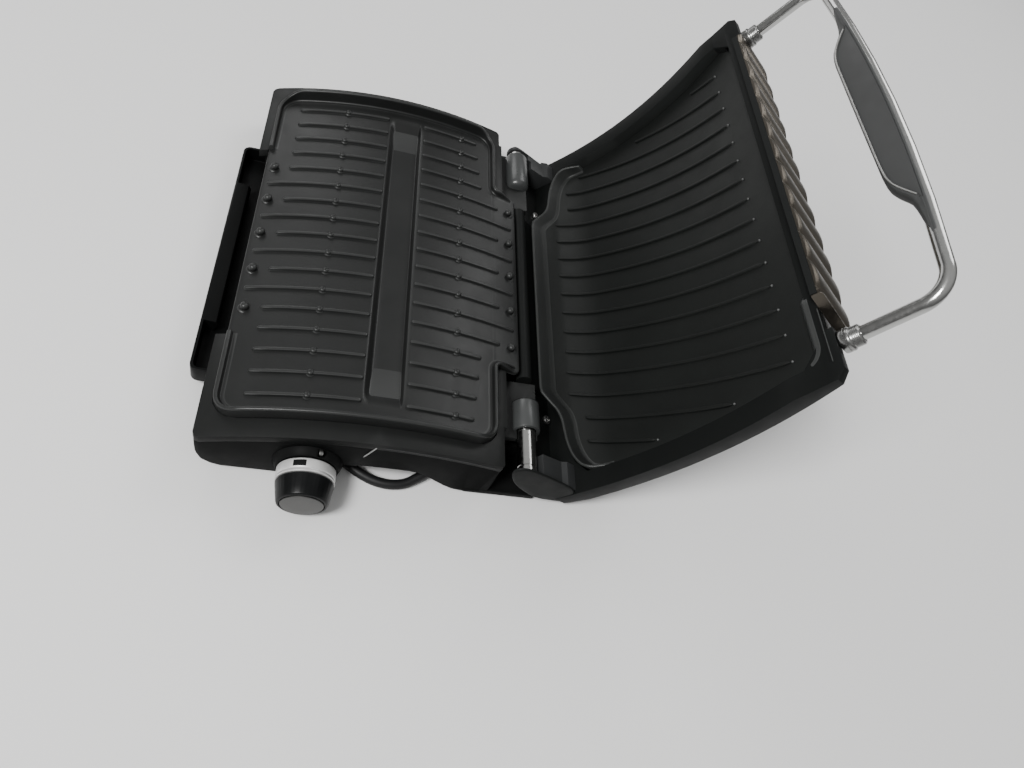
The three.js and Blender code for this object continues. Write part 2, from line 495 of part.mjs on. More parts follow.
// flat front seat of the fascia
frame = frame.subtract(box(-127.5, 127.5, LF - 10, LF + 4.3, -60, 60));
// rear skirt that hangs between the hinge blocks and ends in a roll round the
// hinge axis, so that the rear stays closed at every angle of the lid
frame = frame.add(prismX([[82.5, -1], [86.4, -1], [85.8, -14], [84.8, -25], [83.4, -38], [79.4, -38], [81.6, -30], [82.8, -24], [82.7, -12]], -80.5, 80.5));
frame = frame.add(rod(5.4, -80.5, 80.5, 'x', [0, 80.67, -39.08], 20));
// shorter skirts behind the hinge blocks
for (const s of [-1, 1]) frame = frame.add(prismX([[85.6, -4], [88.9, -4], [88.9, -25], [88.2, -26.6], [86.3, -26.6], [85.6, -25]], s > 0 ? 80.5 : -133.5, s > 0 ? 137 : -80.5));
// bores for the handle ends
for (const s of [-1, 1]) frame = frame.subtract(rod(HANDLE_TUBE_R + 0.4, -130, -102, 'y', [s * HANDLE_X, 0, -5], 16));
put(lid, 'lid_frame', frame, 'black');

// Upper cooking plate with slanted ribs pointing down when the lid is shut. Its
// surface comes down towards the rear and ends in a rim.
const rise = (y) => (y < 45 ? 0 : y < 69 ? 5 * ((y - 45) / 24) ** 2 : 5 + 0.42 * (y - 69) + 0.102 * (y - 69) ** 2);
const upSurf = (y) => 11.3 + arch(y) - rise(y);
const upBack = (y) => 13.9 + arch(y) - Math.max(0, rise(y) - 1.2);
const CREST = [[50, -2.6], [59, -6.2], [67, -8.2], [72.6, -10.4], [76, -15.5], [79, -20.6], [80.4, -23.2], [83, -23.4]];
let up = ring(upSurf, upBack, UP_HX, UP_Y0, UP_Y1, 30);
up = up.add(prismX([...CREST, [83, -4], [76, 0], [60, 5], [50, 8]], -UP_HX, UP_HX)
  .subtract(prismZ(upPlan(-2.2), -60, 60))).intersect(prismZ(upPlan(0), -60, 60));
const Q = UP_PITCH, SL = UP_SLOPE;
const upRibs = [];
for (let k = -1; k < 16; k++) {
  const x0 = UP_X0 + (k - 6) * Q;
  let ya = -84.8, yb = 71;
  const xAt = (y) => x0 + SL * y;
  const lim = 134;
  if (xAt(ya) > lim) ya = (lim - x0) / SL;
  if (xAt(yb) < -lim) yb = (-lim - x0) / SL;
  const corner = (y) => Math.abs(xAt(y)) > 92 && y > 62;
  while (corner(yb)) yb -= 1;
  upRibs.push([x0, ya, yb]);
  const n = 7;
  const pos = [], idx = [];
  for (let i = 0; i <= n; i++) {
    const y = ya + ((yb - ya) * (i === 0 ? 0 : i === n ? 1 : 1 - (1 - i / n) ** 1.4)), x = xAt(y), z = upSurf(y);
    pos.push(x - 1.3, y, z + 0.8, x + 1.3, y, z + 0.8, x + 1.0, y, z - 2.2, x - 1.0, y, z - 2.2);
  }
  for (let i = 0; i < n; i++) for (let e = 0; e < 4; e++) {
    const a = 4 * i + e, b = 4 * i + ((e + 1) % 4), c = a + 4, d = b + 4;
    idx.push(a, b, d, a, d, c);
  }
  idx.push(0, 3, 2, 0, 2, 1, 4 * n, 4 * n + 1, 4 * n + 2, 4 * n, 4 * n + 2, 4 * n + 3);
  const bg = new THREE.BufferGeometry();
  bg.setAttribute('position', new THREE.Float32BufferAttribute(pos, 3));
  bg.setIndex(idx);
  let m = solid(bg);
  if (m.volume() < 0) { bg.setIndex(idx.slice().reverse()); m = solid(bg); }
  up = up.add(m);
}
put(lid, 'upper_plate', up, 'plateUp');
{
  const z = (y) => upSurf(y) + 7.6;
  const pts = fillet([[112, -62, z(-62)], [-112, -62, z(-62)], [-112, 44, z(44)], [112, 44, z(44)]], 26, 6);
  put(lid, 'upper_element', tube(drape(pts, z), 3.1, 8), 'element');
}
put(lid, 'upper_reflector', ring((y) => upSurf(y) + 12.6, (y) => upSurf(y) + 13.6, 122, -84, 62, 8), 'tin');

// Lid cover: crowned shell on the back of the frame. It rises steeply behind
// the fascia, and slopes down above the hinge so that it clears the table when
// the lid stands open.
const COVER = [[-108.4, 16.2], [-104, 25.5], [-97, 32.5], [-86, 37.5], [-72, 39.6], [-57, 40.8], [-42, 41.6], [-27, 42], [-12, 42.1], [3, 42], [18, 41.6],
  [33, 40.6], [47, 38.8], [58, 36], [66, 31.5], [72, 25], [78, 16], [83, 7.6]];
function coverSolid(o) {                 // o = inset of the wall
  const base = (y) => 15.35 + arch(y) - (y > 72 ? (y - 72) * 0.28 : 0);
  const rings = COVER.map(([y, h], i) => {
    const yy = i === 0 ? y + o : i === COVER.length - 1 ? y - o : y;
    const zb = base(yy), top = h - o, w = 150 - o;
    const d = Math.max(0.6, Math.min(20, (top - zb - 1.5) * 0.8)), e = Math.max(1, d * 0.75);
    const half = [[w, zb - (o ? 1 : 0)], [w, zb + 1.2], [w - d, zb + 1.2 + d], [w - d - e, Math.max(zb + 1.2 + d, top - 1.6) + 0.05],
      [w - d - e - 34, Math.max(zb + 1.2 + d, top - 0.4) + 0.1], [40, Math.max(zb + 1.3 + d, top + 1.2) + 0.15]];
    const pts = half.concat(half.map(([x, z]) => [-x, z]).reverse());
    return pts.map(([x, z]) => [x, yy, z]);
  });
  return loft(rings);
}
let cover = coverSolid(0).subtract(coverSolid(2.6));
cover = cover.subtract(box(-130, 130, LF + 4, LF + 12, -30, -2.6));
put(lid, 'lid_cover', cover, 'black');

// Fascia: corrugated metal-look strip across the front of the lid.
const FZ0 = -18.6, FZ1 = 15.6;
{
  const pts = [];
  const w = 126.6, r = 12;
  pts.push([-w, FZ0], [w, FZ0]);
  for (let i = 0; i <= 5; i++) { const t = (i / 5) * Math.PI / 2; pts.push([w - r + r * Math.cos(t), FZ1 - r + r * Math.sin(t)]); }
  for (let i = 0; i <= 5; i++) { const t = Math.PI / 2 + (i / 5) * Math.PI / 2; pts.push([-w + r + r * Math.cos(t), FZ1 - r + r * Math.sin(t)]); }
  const g = new THREE.ExtrudeGeometry(shapeOf(ccw(pts)), { depth: 3.2, bevelEnabled: false });
  g.rotateX(Math.PI / 2);               // (x, z) outline, thickness along -y
  g.translate(0, LF + 4, 0);
  let f = solid(g);
  // half-round corrugations leaning 28 degrees
  const lean = 0.54, pitch = 1.27 * P;
  for (let i = -6; i <= 6; i++) {
    const xc = i * pitch, z0 = FZ0 + 1.5, z1 = FZ1 - 2;
    const a = xc + lean * (z0 + 2), b = xc + lean * (z1 + 2);
    if (Math.abs(a) > 118 || Math.abs(b) > 118) continue;
    const sec = [];
    for (let k = 0; k <= 6; k++) { const t = Math.PI * (k / 6); sec.push([Math.cos(t) * 8.4, Math.sin(t) * 2.6]); }
    const pos = [], idx = [], m = sec.length;
    for (const [x, z] of [[a, z0], [b, z1]]) for (const [u, v] of sec) pos.push(x + u, LF + 1 - v, z);
    for (let k = 0; k < m; k++) { const q = (k + 1) % m; idx.push(k, q, m + q, k, m + q, m + k); }
    for (let k = 1; k < m - 1; k++) { idx.push(0, k + 1, k); idx.push(m, m + k, m + k + 1); }
    const bg = new THREE.BufferGeometry();
    bg.setAttribute('position', new THREE.Float32BufferAttribute(pos, 3));
    bg.setIndex(idx);
    let rr = solid(bg);
    if (rr.volume() < 0) { bg.setIndex(idx.slice().reverse()); rr = solid(bg); }
    f = f.add(rr);
  }
  put(lid, 'lid_fascia', f, 'bronze');
}

// Lid arms: one each side, from the frame down to the hinge pin.
for (const s of [-1, 1]) {
  const name = s > 0 ? 'right' : 'left';
  const X = (a, b) => (s > 0 ? [a, b] : [-b, -a]);
  const prof = [];
  const out = s > 0 ? HALF_W - 0.4 : 151.6;      // the left arm stands a little further in
  for (let i = 0; i <= 12; i++) { const t = Math.PI + (Math.PI * i) / 12; prof.push([pinY + 7.6 * Math.cos(t), pinZ + 7.6 * Math.sin(t)]); }
  prof.push([pinY + 7.0, -13], [pinY + 6.2, lowEdge(86) - GAP]);
  const bottom = [];
  for (let i = 0; i <= 3; i++) { const y = pinY + 6.2 + ((-11.9 - 6.2) * i) / 3; bottom.push([y, lowEdge(y) - GAP]); }
  const all = prof.concat(bottom.slice(1), [[pinY - 11.8, -12.9], [pinY - 9.4, -16]]);
  let arm = prismX(all, ...X(s > 0 ? 137.5 : 134, out));
  // clear space round the visible length of the pin, deeper beside the block
  const slot = (h) => [[pinY - 12, pinZ - 12], [pinY + 12, pinZ - 12], [pinY + 12, pinZ + h], [pinY - 12, pinZ + h]];
  arm = arm.subtract(prismX(slot(PIN_R + 0.4), ...X(130, out - 3.4)));
  if (s < 0) arm = arm.subtract(prismX(slot(9.8), ...X(130, BLOCK_L + 2)));
  // bevelled outer front edge
  arm = arm.subtract(prismZ([[out - 3.6, 60], [out + 5, 60], [out + 5, 78], [out + 0.1, 75.4], [out - 3.6, 70.6]].map(([x, y]) => [s * x, y]), -60, -16.4));
  arm = arm.subtract(rod(3.3, s > 0 ? 145 : -out + 1.3, s > 0 ? out - 1.3 : -145, 'x', [0, pinY, pinZ], 12));
  put(lid, `lid_arm_${name}`, arm, 'black');
  // chrome pin: thick journal, short stem through the arm
  let pin = rod(PIN_R, s > 0 ? 114 : -out + 3.7, s > 0 ? out - 3.7 : -114, 'x', [0, pinY, pinZ], 20)
    .add(rod(3, s > 0 ? 145 : -out + 1.6, s > 0 ? out - 1.6 : -145, 'x', [0, pinY, pinZ], 12));
  put(lid, `hinge_pin_${name}`, pin, 'chrome');
  // screw in the face of the corner skirt
  put(lid, `lid_screw_${name}`, turned([[0, 83.3], [3.1, 83.3], [3.1, 85.3], [0, 85.3]], 'y', [s * 99, 0, -13], 14), 'silver');
}

// Handle: bent tube with knurled collars and a moulded two-part grip.
{
  const y0 = -111.4, zh = -6.4;
  const bow = (x) => HANDLE_Y + 0.00045 * x * x;
  const pts = fillet([[-HANDLE_X, y0, -5], [-HANDLE_X, bow(125) + 0.6, zh], [-76, bow(76), zh], [-38, bow(38), zh], [0, HANDLE_Y, zh], [38, bow(38), zh],
    [76, bow(76), zh], [HANDLE_X, bow(125) + 0.6, zh], [HANDLE_X, y0, -5]], 17, 5);
  put(lid, 'handle_tube', tube(pts, HANDLE_TUBE_R, 14), 'chrome');
  for (const s of [-1, 1]) {
    const c = turned([[HANDLE_TUBE_R + 0.3, -11.5], [5.2, -11.5], [5.9, -10.6], [5.9, -6], [6.6, -5.2], [6.6, -1], [6.0, -0.3], [HANDLE_TUBE_R + 0.3, -0.3], [HANDLE_TUBE_R + 0.3, -11.5]].map((p) => p), 'y', [s * HANDLE_X, LF, -5.1], 24);
    put(lid, s > 0 ? 'handle_collar_right' : 'handle_collar_left', c, 'silver');
  }
  // grip: a paddle clamped on the inner side of the crossbar, in two halves
  // that meet on the plane of the handle; the outer side of the tube stays bare
  const G = [[-93, -177.6, 3.4], [-90, -174.4, 4.6], [-84, -172.4, 5.4], [-74, -170.4, 6], [-67.5, -166.4, 6.4], [-60, -163.2, 6.6], [-50, -162.3, 6.8], [-25, -162.2, 7], [0, -162.2, 7],
    [25, -162.2, 7], [50, -162.3, 6.8], [60, -163.2, 6.6], [67.5, -166.4, 6.4], [74, -170.4, 6], [84, -172.4, 5.4], [90, -174.4, 4.6], [93, -177.6, 3.4]];
  const pos = [], idx = [];
  let nr = 0;
  for (const [x, yi, h] of G) {
    const yo = bow(x) - 1.2, w = yi - yo, k = Math.min(1, Math.max(0.25, w / 16));
    const sec = [[yo, h * 0.86], [yo + w * 0.25, h], [yo + w * 0.62, h * 0.9], [yi - 1.6 * k, h * 0.62], [yi, h * 0.3]];
    const loop = sec.map(([y, z]) => [y, z]).concat(sec.map(([y, z]) => [y, -z]).reverse());
    nr = loop.length;
    for (const [y, z] of loop) pos.push(x, y, zh + z);
  }
  for (let i = 0; i < G.length - 1; i++) for (let j = 0; j < nr; j++) {
    const a = i * nr + j, b = i * nr + ((j + 1) % nr);
    idx.push(a, b, b + nr, a, b + nr, a + nr);
  }
  const e = (G.length - 1) * nr;
  for (let j = 1; j < nr - 1; j++) { idx.push(0, j + 1, j); idx.push(e, e + j, e + j + 1); }
  const bg = new THREE.BufferGeometry();
  bg.setAttribute('position', new THREE.Float32BufferAttribute(pos, 3));
  bg.setIndex(idx);
  let g = solid(bg);
  if (g.volume() < 0) { bg.setIndex(idx.slice().reverse()); g = solid(bg); }
  const core = [-110, -76, -38, 0, 38, 76, 110].map((x) => new THREE.Vector3(x, Math.abs(x) > 100 ? bow(76) + (bow(125) + 0.6 - bow(76)) * (34 / (HANDLE_X - 76)) : bow(x), zh));
  g = g.subtract(tube(core, HANDLE_TUBE_R + 0.35, 16));
  put(lid, 'grip_upper', g.intersect(box(-200, 200, -300, 0, zh + 0.15, 60)), 'grip');
  put(lid, 'grip_lower', g.intersect(box(-200, 200, -300, 0, -60, zh - 0.15)), 'grip');
}

// ===================================================================== CORD
// The mains lead leaves the right side wall through a tapered strain relief,
// dips to the table, passes back under the arched side and ends in a coil
// behind the base.
const CZ = TABLE_Z + CORD_D / 2 + 0.1;
const glen = Math.hypot(G1[0] - G0[0], G1[1] - G0[1], G1[2] - G0[2]);
put(root, 'strain_relief', along(G0, G1, [[0, 0], [5.6, 0], [5.6, 9], [5.4, 12], [4.0, glen], [0, glen]], 20), 'rubber');

// centre line of the lead, from the tip of the strain relief to the coil
const gd = new THREE.Vector3(...G1).sub(new THREE.Vector3(...G0)).normalize();
const lead = [];
{
  const st = new THREE.Vector3(...G1).addScaledVector(gd, GAP);
  const ctl = [st.toArray(), st.clone().addScaledVector(gd, 3).toArray(), [150.4, 31, -45.4], [155.2, 22.6, -47.0], [157.1, 13, CZ], [155.4, 2, CZ], [149.6, -9.6, CZ], [140.0, -22, CZ],
    [127.0, -32.2, CZ], [111, -38, CZ], [92, -39.6, CZ], [70, -40, CZ]];
  const c = new THREE.CatmullRomCurve3(ctl.map((p) => new THREE.Vector3(...p)), false, 'centripetal');
  for (let i = 0; i <= 18; i++) lead.push(c.getPoint(i / 18));
  for (let x = 40; x > -142; x -= 36) lead.push(new THREE.Vector3(x, -40, CZ));
  for (let i = 0; i <= 5; i++) { const t = -Math.PI / 2 - (i / 5) * Math.PI / 2; lead.push(new THREE.Vector3(-142 + 28 * Math.cos(t), -12 + 28 * Math.sin(t), CZ)); }
  for (let y = 16; y < 150; y += 34) lead.push(new THREE.Vector3(-170, y, CZ));
  for (let i = 0; i <= 6; i++) { const t = Math.PI - (i / 6) * Math.PI / 2; lead.push(new THREE.Vector3(-130 + 40 * Math.cos(t), COIL_Y - COIL_R - 40 + 40 * Math.sin(t), CZ)); }
  lead.push(new THREE.Vector3(-116, COIL_Y - COIL_R, CZ));
  lead.push(new THREE.Vector3(-103.2, COIL_Y - COIL_R, CZ));
}
put(root, 'power_cord', tube(lead, CORD_D / 2, 8), 'cord');
// two stacked turns
{
  const ri = COIL_R - CORD_D / 2 - 0.2, ro = COIL_R + CORD_D / 2 + 0.2, z0 = TABLE_Z + 0.05, z1 = TABLE_Z + 2 * CORD_D + 0.4;
  const g = new THREE.LatheGeometry([[ri, z0], [ro, z0], [ro, z1], [ri, z1], [ri, z0]].map((p) => new THREE.Vector2(...p)), 36);
  g.rotateX(Math.PI / 2);
  g.translate(COIL_X, COIL_Y, 0);
  let m = solid(g);
  if (m.volume() < 0) { g.index.array.reverse(); m = solid(g); }
  // flat where the lead runs in
  m = m.subtract(box(-140, -102.9, 190, 204, TABLE_Z - 1, TABLE_Z + 7.2));
  put(root, 'cord_coil', m, 'cord');
}
// tail that comes off the top of the coil and runs down to the plug
{
  const y = COIL_Y - COIL_R;
  const pz = TABLE_Z + 6.6;
  const ctl = [[-56.6, y, CZ + 5.4], [-50, y, CZ + 4.4], [-43, y, pz], [-36, y, pz]];
  const c = new THREE.CatmullRomCurve3(ctl.map((p) => new THREE.Vector3(...p)), false, 'centripetal');
  put(root, 'cord_tail', tube(c.getPoints(6), CORD_D / 2, 8), 'cord');
  const px = -35.7;
  let plug = turned([[0, 0], [3.7, 0], [5.4, 16], [6.4, 18], [0, 18]], 'x', [px, y, pz], 16);
  const body = prismY([[pz - 4.4, px + 15], [pz - 4.4, px + 47], [pz + 11, px + 47], [pz + 12.6, px + 44], [pz + 12.6, px + 26], [pz + 7, px + 17], [pz + 5, px + 15]], y - 12, y + 12)
    .intersect(prismZ(roundRect(px + 15, px + 47, y - 12, y + 12, 7), -60, 0));
  plug = plug.add(body);
  for (const s of [-1, 1]) plug = plug.subtract(box(px + 42, px + 50, y + s * 6.35 - 1.1, y + s * 6.35 + 1.1, pz + 0.7, pz + 7.7));
  put(root, 'plug_body', plug, 'cord');
  for (const s of [-1, 1]) {
    put(root, s < 0 ? 'plug_blade_1' : 'plug_blade_2',
      box(px + 42.4, px + 63, y + s * 6.35 - 0.75, y + s * 6.35 + 0.75, pz + 1.05, pz + 7.35), 'brass');
  }
}

export default root;
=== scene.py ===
import bpy, bmesh, math
from math import sin, cos, pi, sqrt, radians, exp
from mathutils import Vector, Matrix


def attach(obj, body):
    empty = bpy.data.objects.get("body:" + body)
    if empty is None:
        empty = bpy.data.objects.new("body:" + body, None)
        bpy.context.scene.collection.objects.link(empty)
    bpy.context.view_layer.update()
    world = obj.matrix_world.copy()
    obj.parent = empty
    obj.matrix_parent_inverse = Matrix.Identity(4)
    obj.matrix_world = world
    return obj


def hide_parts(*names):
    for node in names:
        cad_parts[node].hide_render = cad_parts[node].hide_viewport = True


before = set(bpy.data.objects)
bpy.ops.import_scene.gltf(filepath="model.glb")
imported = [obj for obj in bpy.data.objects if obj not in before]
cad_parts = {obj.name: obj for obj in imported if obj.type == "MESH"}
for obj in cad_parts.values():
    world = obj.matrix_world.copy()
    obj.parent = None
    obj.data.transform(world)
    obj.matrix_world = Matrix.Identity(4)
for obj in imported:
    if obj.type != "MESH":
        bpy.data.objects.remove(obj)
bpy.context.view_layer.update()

# ------------------------------------------------------------------ frames
# working frame of the base (mm): x width, y tray -> hinge, z 0 at the crown of
# the lower plate; lid frame (mm): lid level, crown at y = 0.
TX, TY, TZ = -14.15, -70.56, 50.4
PIN_Y, PIN_Z, OPEN = 96.0, -23.2, radians(118.73)
CO, SO = cos(OPEN), sin(OPEN)
TABLE = -50.4


def W(x, y, z):
    return ((x + TX) * 0.001, (y + TY) * 0.001, (z + TZ) * 0.001)


def L(x, y, z):
    yy, zz = y - 80.67, z + 39.08
    return W(x, PIN_Y + yy * CO + zz * SO, PIN_Z - yy * SO + zz * CO)


def arch(y):
    return -y * y / 608.0


def sm(a, b, t):
    if a == b:
        return 0.0 if t < a else 1.0
    u = min(1.0, max(0.0, (t - a) / (b - a)))
    return u * u * (3 - 2 * u)


def lin(a, b, n):
    return [a + (b - a) * i / n for i in range(n + 1)]


# ------------------------------------------------------------------ camera
cam_data = bpy.data.cameras.new("view")
cam = bpy.data.objects.new("view", cam_data)
bpy.context.scene.collection.objects.link(cam)
CAM = Vector(W(369.06, -45.52, 389.42))
right = Vector((0.02202, 0.95589, 0.29288))
down = Vector((0.83549, 0.14330, -0.53050))
fwd = Vector((-0.54907, 0.25637, -0.79548))
rot = Matrix((right, -down, -fwd)).transposed()
cam.matrix_world = Matrix.Translation(CAM) @ rot.to_4x4()
cam_data.sensor_fit = 'HORIZONTAL'
cam_data.sensor_width = 36.0
cam_data.lens = 764.37 / 1024 * 36.0
cam_data.clip_start = 0.01
cam_data.clip_end = 20
bpy.context.scene.camera = cam


# --------------------------------------------------------------- mesh tools
class Mesh:
    def __init__(self):
        self.v, self.f = [], []

    def add(self, verts, faces):
        o = len(self.v)
        self.v += [tuple(p) for p in verts]
        self.f += [tuple(i + o for i in f) for f in faces]

    # rows of points, all of one length
    def rows(self, rows, close_row=False, close_all=False, cap0=False, cap1=False, flip=False):
        n, m = len(rows[0]), len(rows)
        verts = [p for r in rows for p in r]
        faces = []
        for i in range(m if close_all else m - 1):
            for j in range(n if close_row else n - 1):
                a, b = i * n + j, i * n + (j + 1) % n
                c, d = ((i + 1) % m) * n + (j + 1) % n, ((i + 1) % m) * n + j
                faces.append((a, d, c, b) if flip else (a, b, c, d))
        if cap0:
            q = tuple(range(n))
            faces.append(q if flip else q[::-1])
        if cap1:
            q = tuple(range((m - 1) * n, m * n))
            faces.append(q[::-1] if flip else q)
        self.add(verts, faces)

    def revolve(self, profile, at, axis='z', seg=32):
        rows = []
        for r, h in profile:
            row = []
            for k in range(seg):
                t = 2 * pi * k / seg
                u, v = r * cos(t), r * sin(t)
                if axis == 'z':
                    row.append((at[0] + u, at[1] + v, at[2] + h))
                elif axis == 'x':
                    row.append((at[0] + h, at[1] + u, at[2] + v))
                else:
                    row.append((at[0] + v, at[1] + h, at[2] + u))
            rows.append(row)
        self.rows(rows, close_row=True, cap0=True, cap1=True)


def build(name, mesh, body, mat, xf=W, nodes=(), angle=38, fix=True):
    me = bpy.data.meshes.new(name)
    me.from_pydata([xf(*p) for p in mesh.v], [], mesh.f)
    me.validate()
    if fix:
        bm = bmesh.new()
        bm.from_mesh(me)
        bmesh.ops.remove_doubles(bm, verts=bm.verts, dist=2e-6)
        bmesh.ops.recalc_face_normals(bm, faces=bm.faces)
        bm.to_mesh(me)
        bm.free()
    me.shade_smooth()
    me.set_sharp_from_angle(angle=radians(angle))
    ob = bpy.data.objects.new(name, me)
    bpy.context.scene.collection.objects.link(ob)
    me.materials.append(mat)
    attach(ob, body)
    if nodes:
        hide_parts(*nodes)
    return ob


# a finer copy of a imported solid, with rounded edges
def softened(node, name, body, mat, width=0.8, seg=2, limit=28, smooth=38):
    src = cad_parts[node]
    bm = bmesh.new()
    bm.from_mesh(src.data)
    bmesh.ops.remove_doubles(bm, verts=bm.verts, dist=5e-6)
    bmesh.ops.dissolve_limit(bm, angle_limit=radians(0.6), verts=bm.verts, edges=bm.edges)
    bmesh.ops.recalc_face_normals(bm, faces=bm.faces)
    lim = radians(limit)
    ed = [e for e in bm.edges if len(e.link_faces) == 2 and e.calc_face_angle(0) > lim]
    bmesh.ops.bevel(bm, geom=ed, offset=width * 0.001, offset_type='OFFSET', segments=seg, profile=0.5,
                    affect='EDGES', clamp_overlap=True, miter_outer='ARC', harden_normals=False)
    bmesh.ops.triangulate(bm, faces=[f for f in bm.faces if len(f.verts) > 4])
    me = bpy.data.meshes.new(name)
    bm.to_mesh(me)
    bm.free()
    me.materials.clear()
    me.materials.append(mat)
    me.shade_smooth()
    me.set_sharp_from_angle(angle=radians(smooth))
    ob = bpy.data.objects.new(name, me)
    bpy.context.scene.collection.objects.link(ob)
    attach(ob, body)
    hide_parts(node)
    return ob


# -------------------------------------------------------------- materials
class Nodes:
    def __init__(self, name):
        self.mat = bpy.data.materials.new(name)
        self.mat.use_nodes = True
        self.t = self.mat.node_tree
        self.t.nodes.clear()
        self.out = self.t.nodes.new('ShaderNodeOutputMaterial')
        self.p = self.t.nodes.new('ShaderNodeBsdfPrincipled')
        self.link(self.p.outputs[0], self.out.inputs[0])
        self.co = self.t.nodes.new('ShaderNodeTexCoord').outputs['Object']

    def link(self, a, b):
        self.t.links.new(a, b)

    def set(self, **kw):
        for k, v in kw.items():
            self.p.inputs[k.replace('_', ' ')].default_value = v

    def scaled(self, s):
        n = self.t.nodes.new('ShaderNodeMapping')
        n.inputs['Scale'].default_value = s if isinstance(s, tuple) else (s, s, s)
        self.link(self.co, n.inputs['Vector'])
        return n.outputs[0]

    def noise(self, scale, detail=3.0, rough=0.5, stretch=None, dist=0.0):
        n = self.t.nodes.new('ShaderNodeTexNoise')
        n.inputs['Scale'].default_value = scale
        n.inputs['Detail'].default_value = detail
        n.inputs['Roughness'].default_value = rough
        n.inputs['Distortion'].default_value = dist
        self.link(self.scaled(stretch) if stretch else self.co, n.inputs['Vector'])
        return n.outputs['Fac']

    def voronoi(self, scale, feature='F1'):
        n = self.t.nodes.new('ShaderNodeTexVoronoi')
        n.feature = feature
        n.inputs['Scale'].default_value = scale
        self.link(self.co, n.inputs['Vector'])
        return n.outputs['Distance']

    def ramp(self, fac, stops):
        n = self.t.nodes.new('ShaderNodeValToRGB')
        e = n.color_ramp.elements
        while len(e) > 1:
            e.remove(e[-1])
        for i, (pos, col) in enumerate(stops):
            el = e[0] if i == 0 else e.new(pos)
            el.position = pos
            c = col if isinstance(col, tuple) else (col, col, col)
            el.color = (c[0], c[1], c[2], 1)
        self.link(fac, n.inputs[0])
        return n.outputs[0]

    def remap(self, fac, a, b, lo, hi):
        n = self.t.nodes.new('ShaderNodeMapRange')
        n.inputs['From Min'].default_value = a
        n.inputs['From Max'].default_value = b
        n.inputs['To Min'].default_value = lo
        n.inputs['To Max'].default_value = hi
        self.link(fac, n.inputs['Value'])
        return n.outputs[0]

    def mix(self, fac, a, b):
        n = self.t.nodes.new('ShaderNodeMix')
        n.data_type = 'RGBA'
        if isinstance(fac, float):
            n.inputs[0].default_value = fac
        else:
            self.link(fac, n.inputs[0])
        for i, c in ((6, a), (7, b)):
            if isinstance(c, tuple):
                n.inputs[i].default_value = (c[0], c[1], c[2], 1)
            else:
                self.link(c, n.inputs[i])
        return n.outputs[2]

    def math(self, op, a, b=None):
        n = self.t.nodes.new('ShaderNodeMath')
        n.operation = op
        for i, v in enumerate((a, b)):
            if v is None:
                continue
            if isinstance(v, (int, float)):
                n.inputs[i].default_value = v
            else:
                self.link(v, n.inputs[i])
        return n.outputs[0]

    def bump(self, height, strength, dist, normal=None):
        n = self.t.nodes.new('ShaderNodeBump')
        n.inputs['Strength'].default_value = strength
        n.inputs['Distance'].default_value = dist
        self.link(height, n.inputs['Height'])
        if normal is not None:
            self.link(normal, n.inputs['Normal'])
        return n.outputs[0]

    def edge(self, lo=0.505, hi=0.56):
        g = self.t.nodes.new('ShaderNodeNewGeometry')
        return self.remap(g.outputs['Pointiness'], lo, hi, 0.0, 1.0)

    def facing_up(self, lo, hi):
        g = self.t.nodes.new('ShaderNodeNewGeometry')
        s = self.t.nodes.new('ShaderNodeSeparateXYZ')
        self.link(g.outputs['Normal'], s.inputs[0])
        return self.remap(s.outputs[2], lo, hi, 0.0, 1.0)


def plastic(name, col, rough=0.42, grain=2600.0, grain_h=0.00003, spec=0.5, var=0.25, edge_wear_and_highlight=0.35):
    m = Nodes(name)
    big = m.noise(9.0, 4.0, 0.6)
    mid = m.noise(120.0, 3.0, 0.6)
    dark = tuple(c * (1 - var) for c in col)
    lite = tuple(min(1, c * (1 + var)) for c in col)
    base = m.mix(m.remap(big, 0.3, 0.7, 0.0, 1.0), dark, lite)
    # faint handling marks
    smudge = m.remap(m.noise(38.0, 5.0, 0.7, dist=0.6), 0.52, 0.72, 0.0, 1.0)
    # pointy edges lightened: partly real edge wear, partly a painted highlight along the edges
    worn_lit_edge_col = tuple(min(1, c * 1.8 + 0.01) for c in col)
    edge = m.math('MULTIPLY', m.edge(), edge_wear_and_highlight)
    base = m.mix(edge, base, worn_lit_edge_col)
    m.link(base, m.p.inputs['Base Color'])
    r = m.remap(mid, 0.3, 0.7, rough - 0.04, rough + 0.05)
    r = m.math('ADD', r, m.math('MULTIPLY', smudge, 0.05))
    m.link(r, m.p.inputs['Roughness'])
    m.set(Specular_IOR_Level=spec)
    fine = m.noise(grain, 2.0, 0.5)
    wave = m.noise(60.0, 2.0, 0.5)
    b = m.bump(fine, 0.35, grain_h)
    b = m.bump(wave, 0.12, 0.0004, b)
    m.link(b, m.p.inputs['Normal'])
    return m.mat


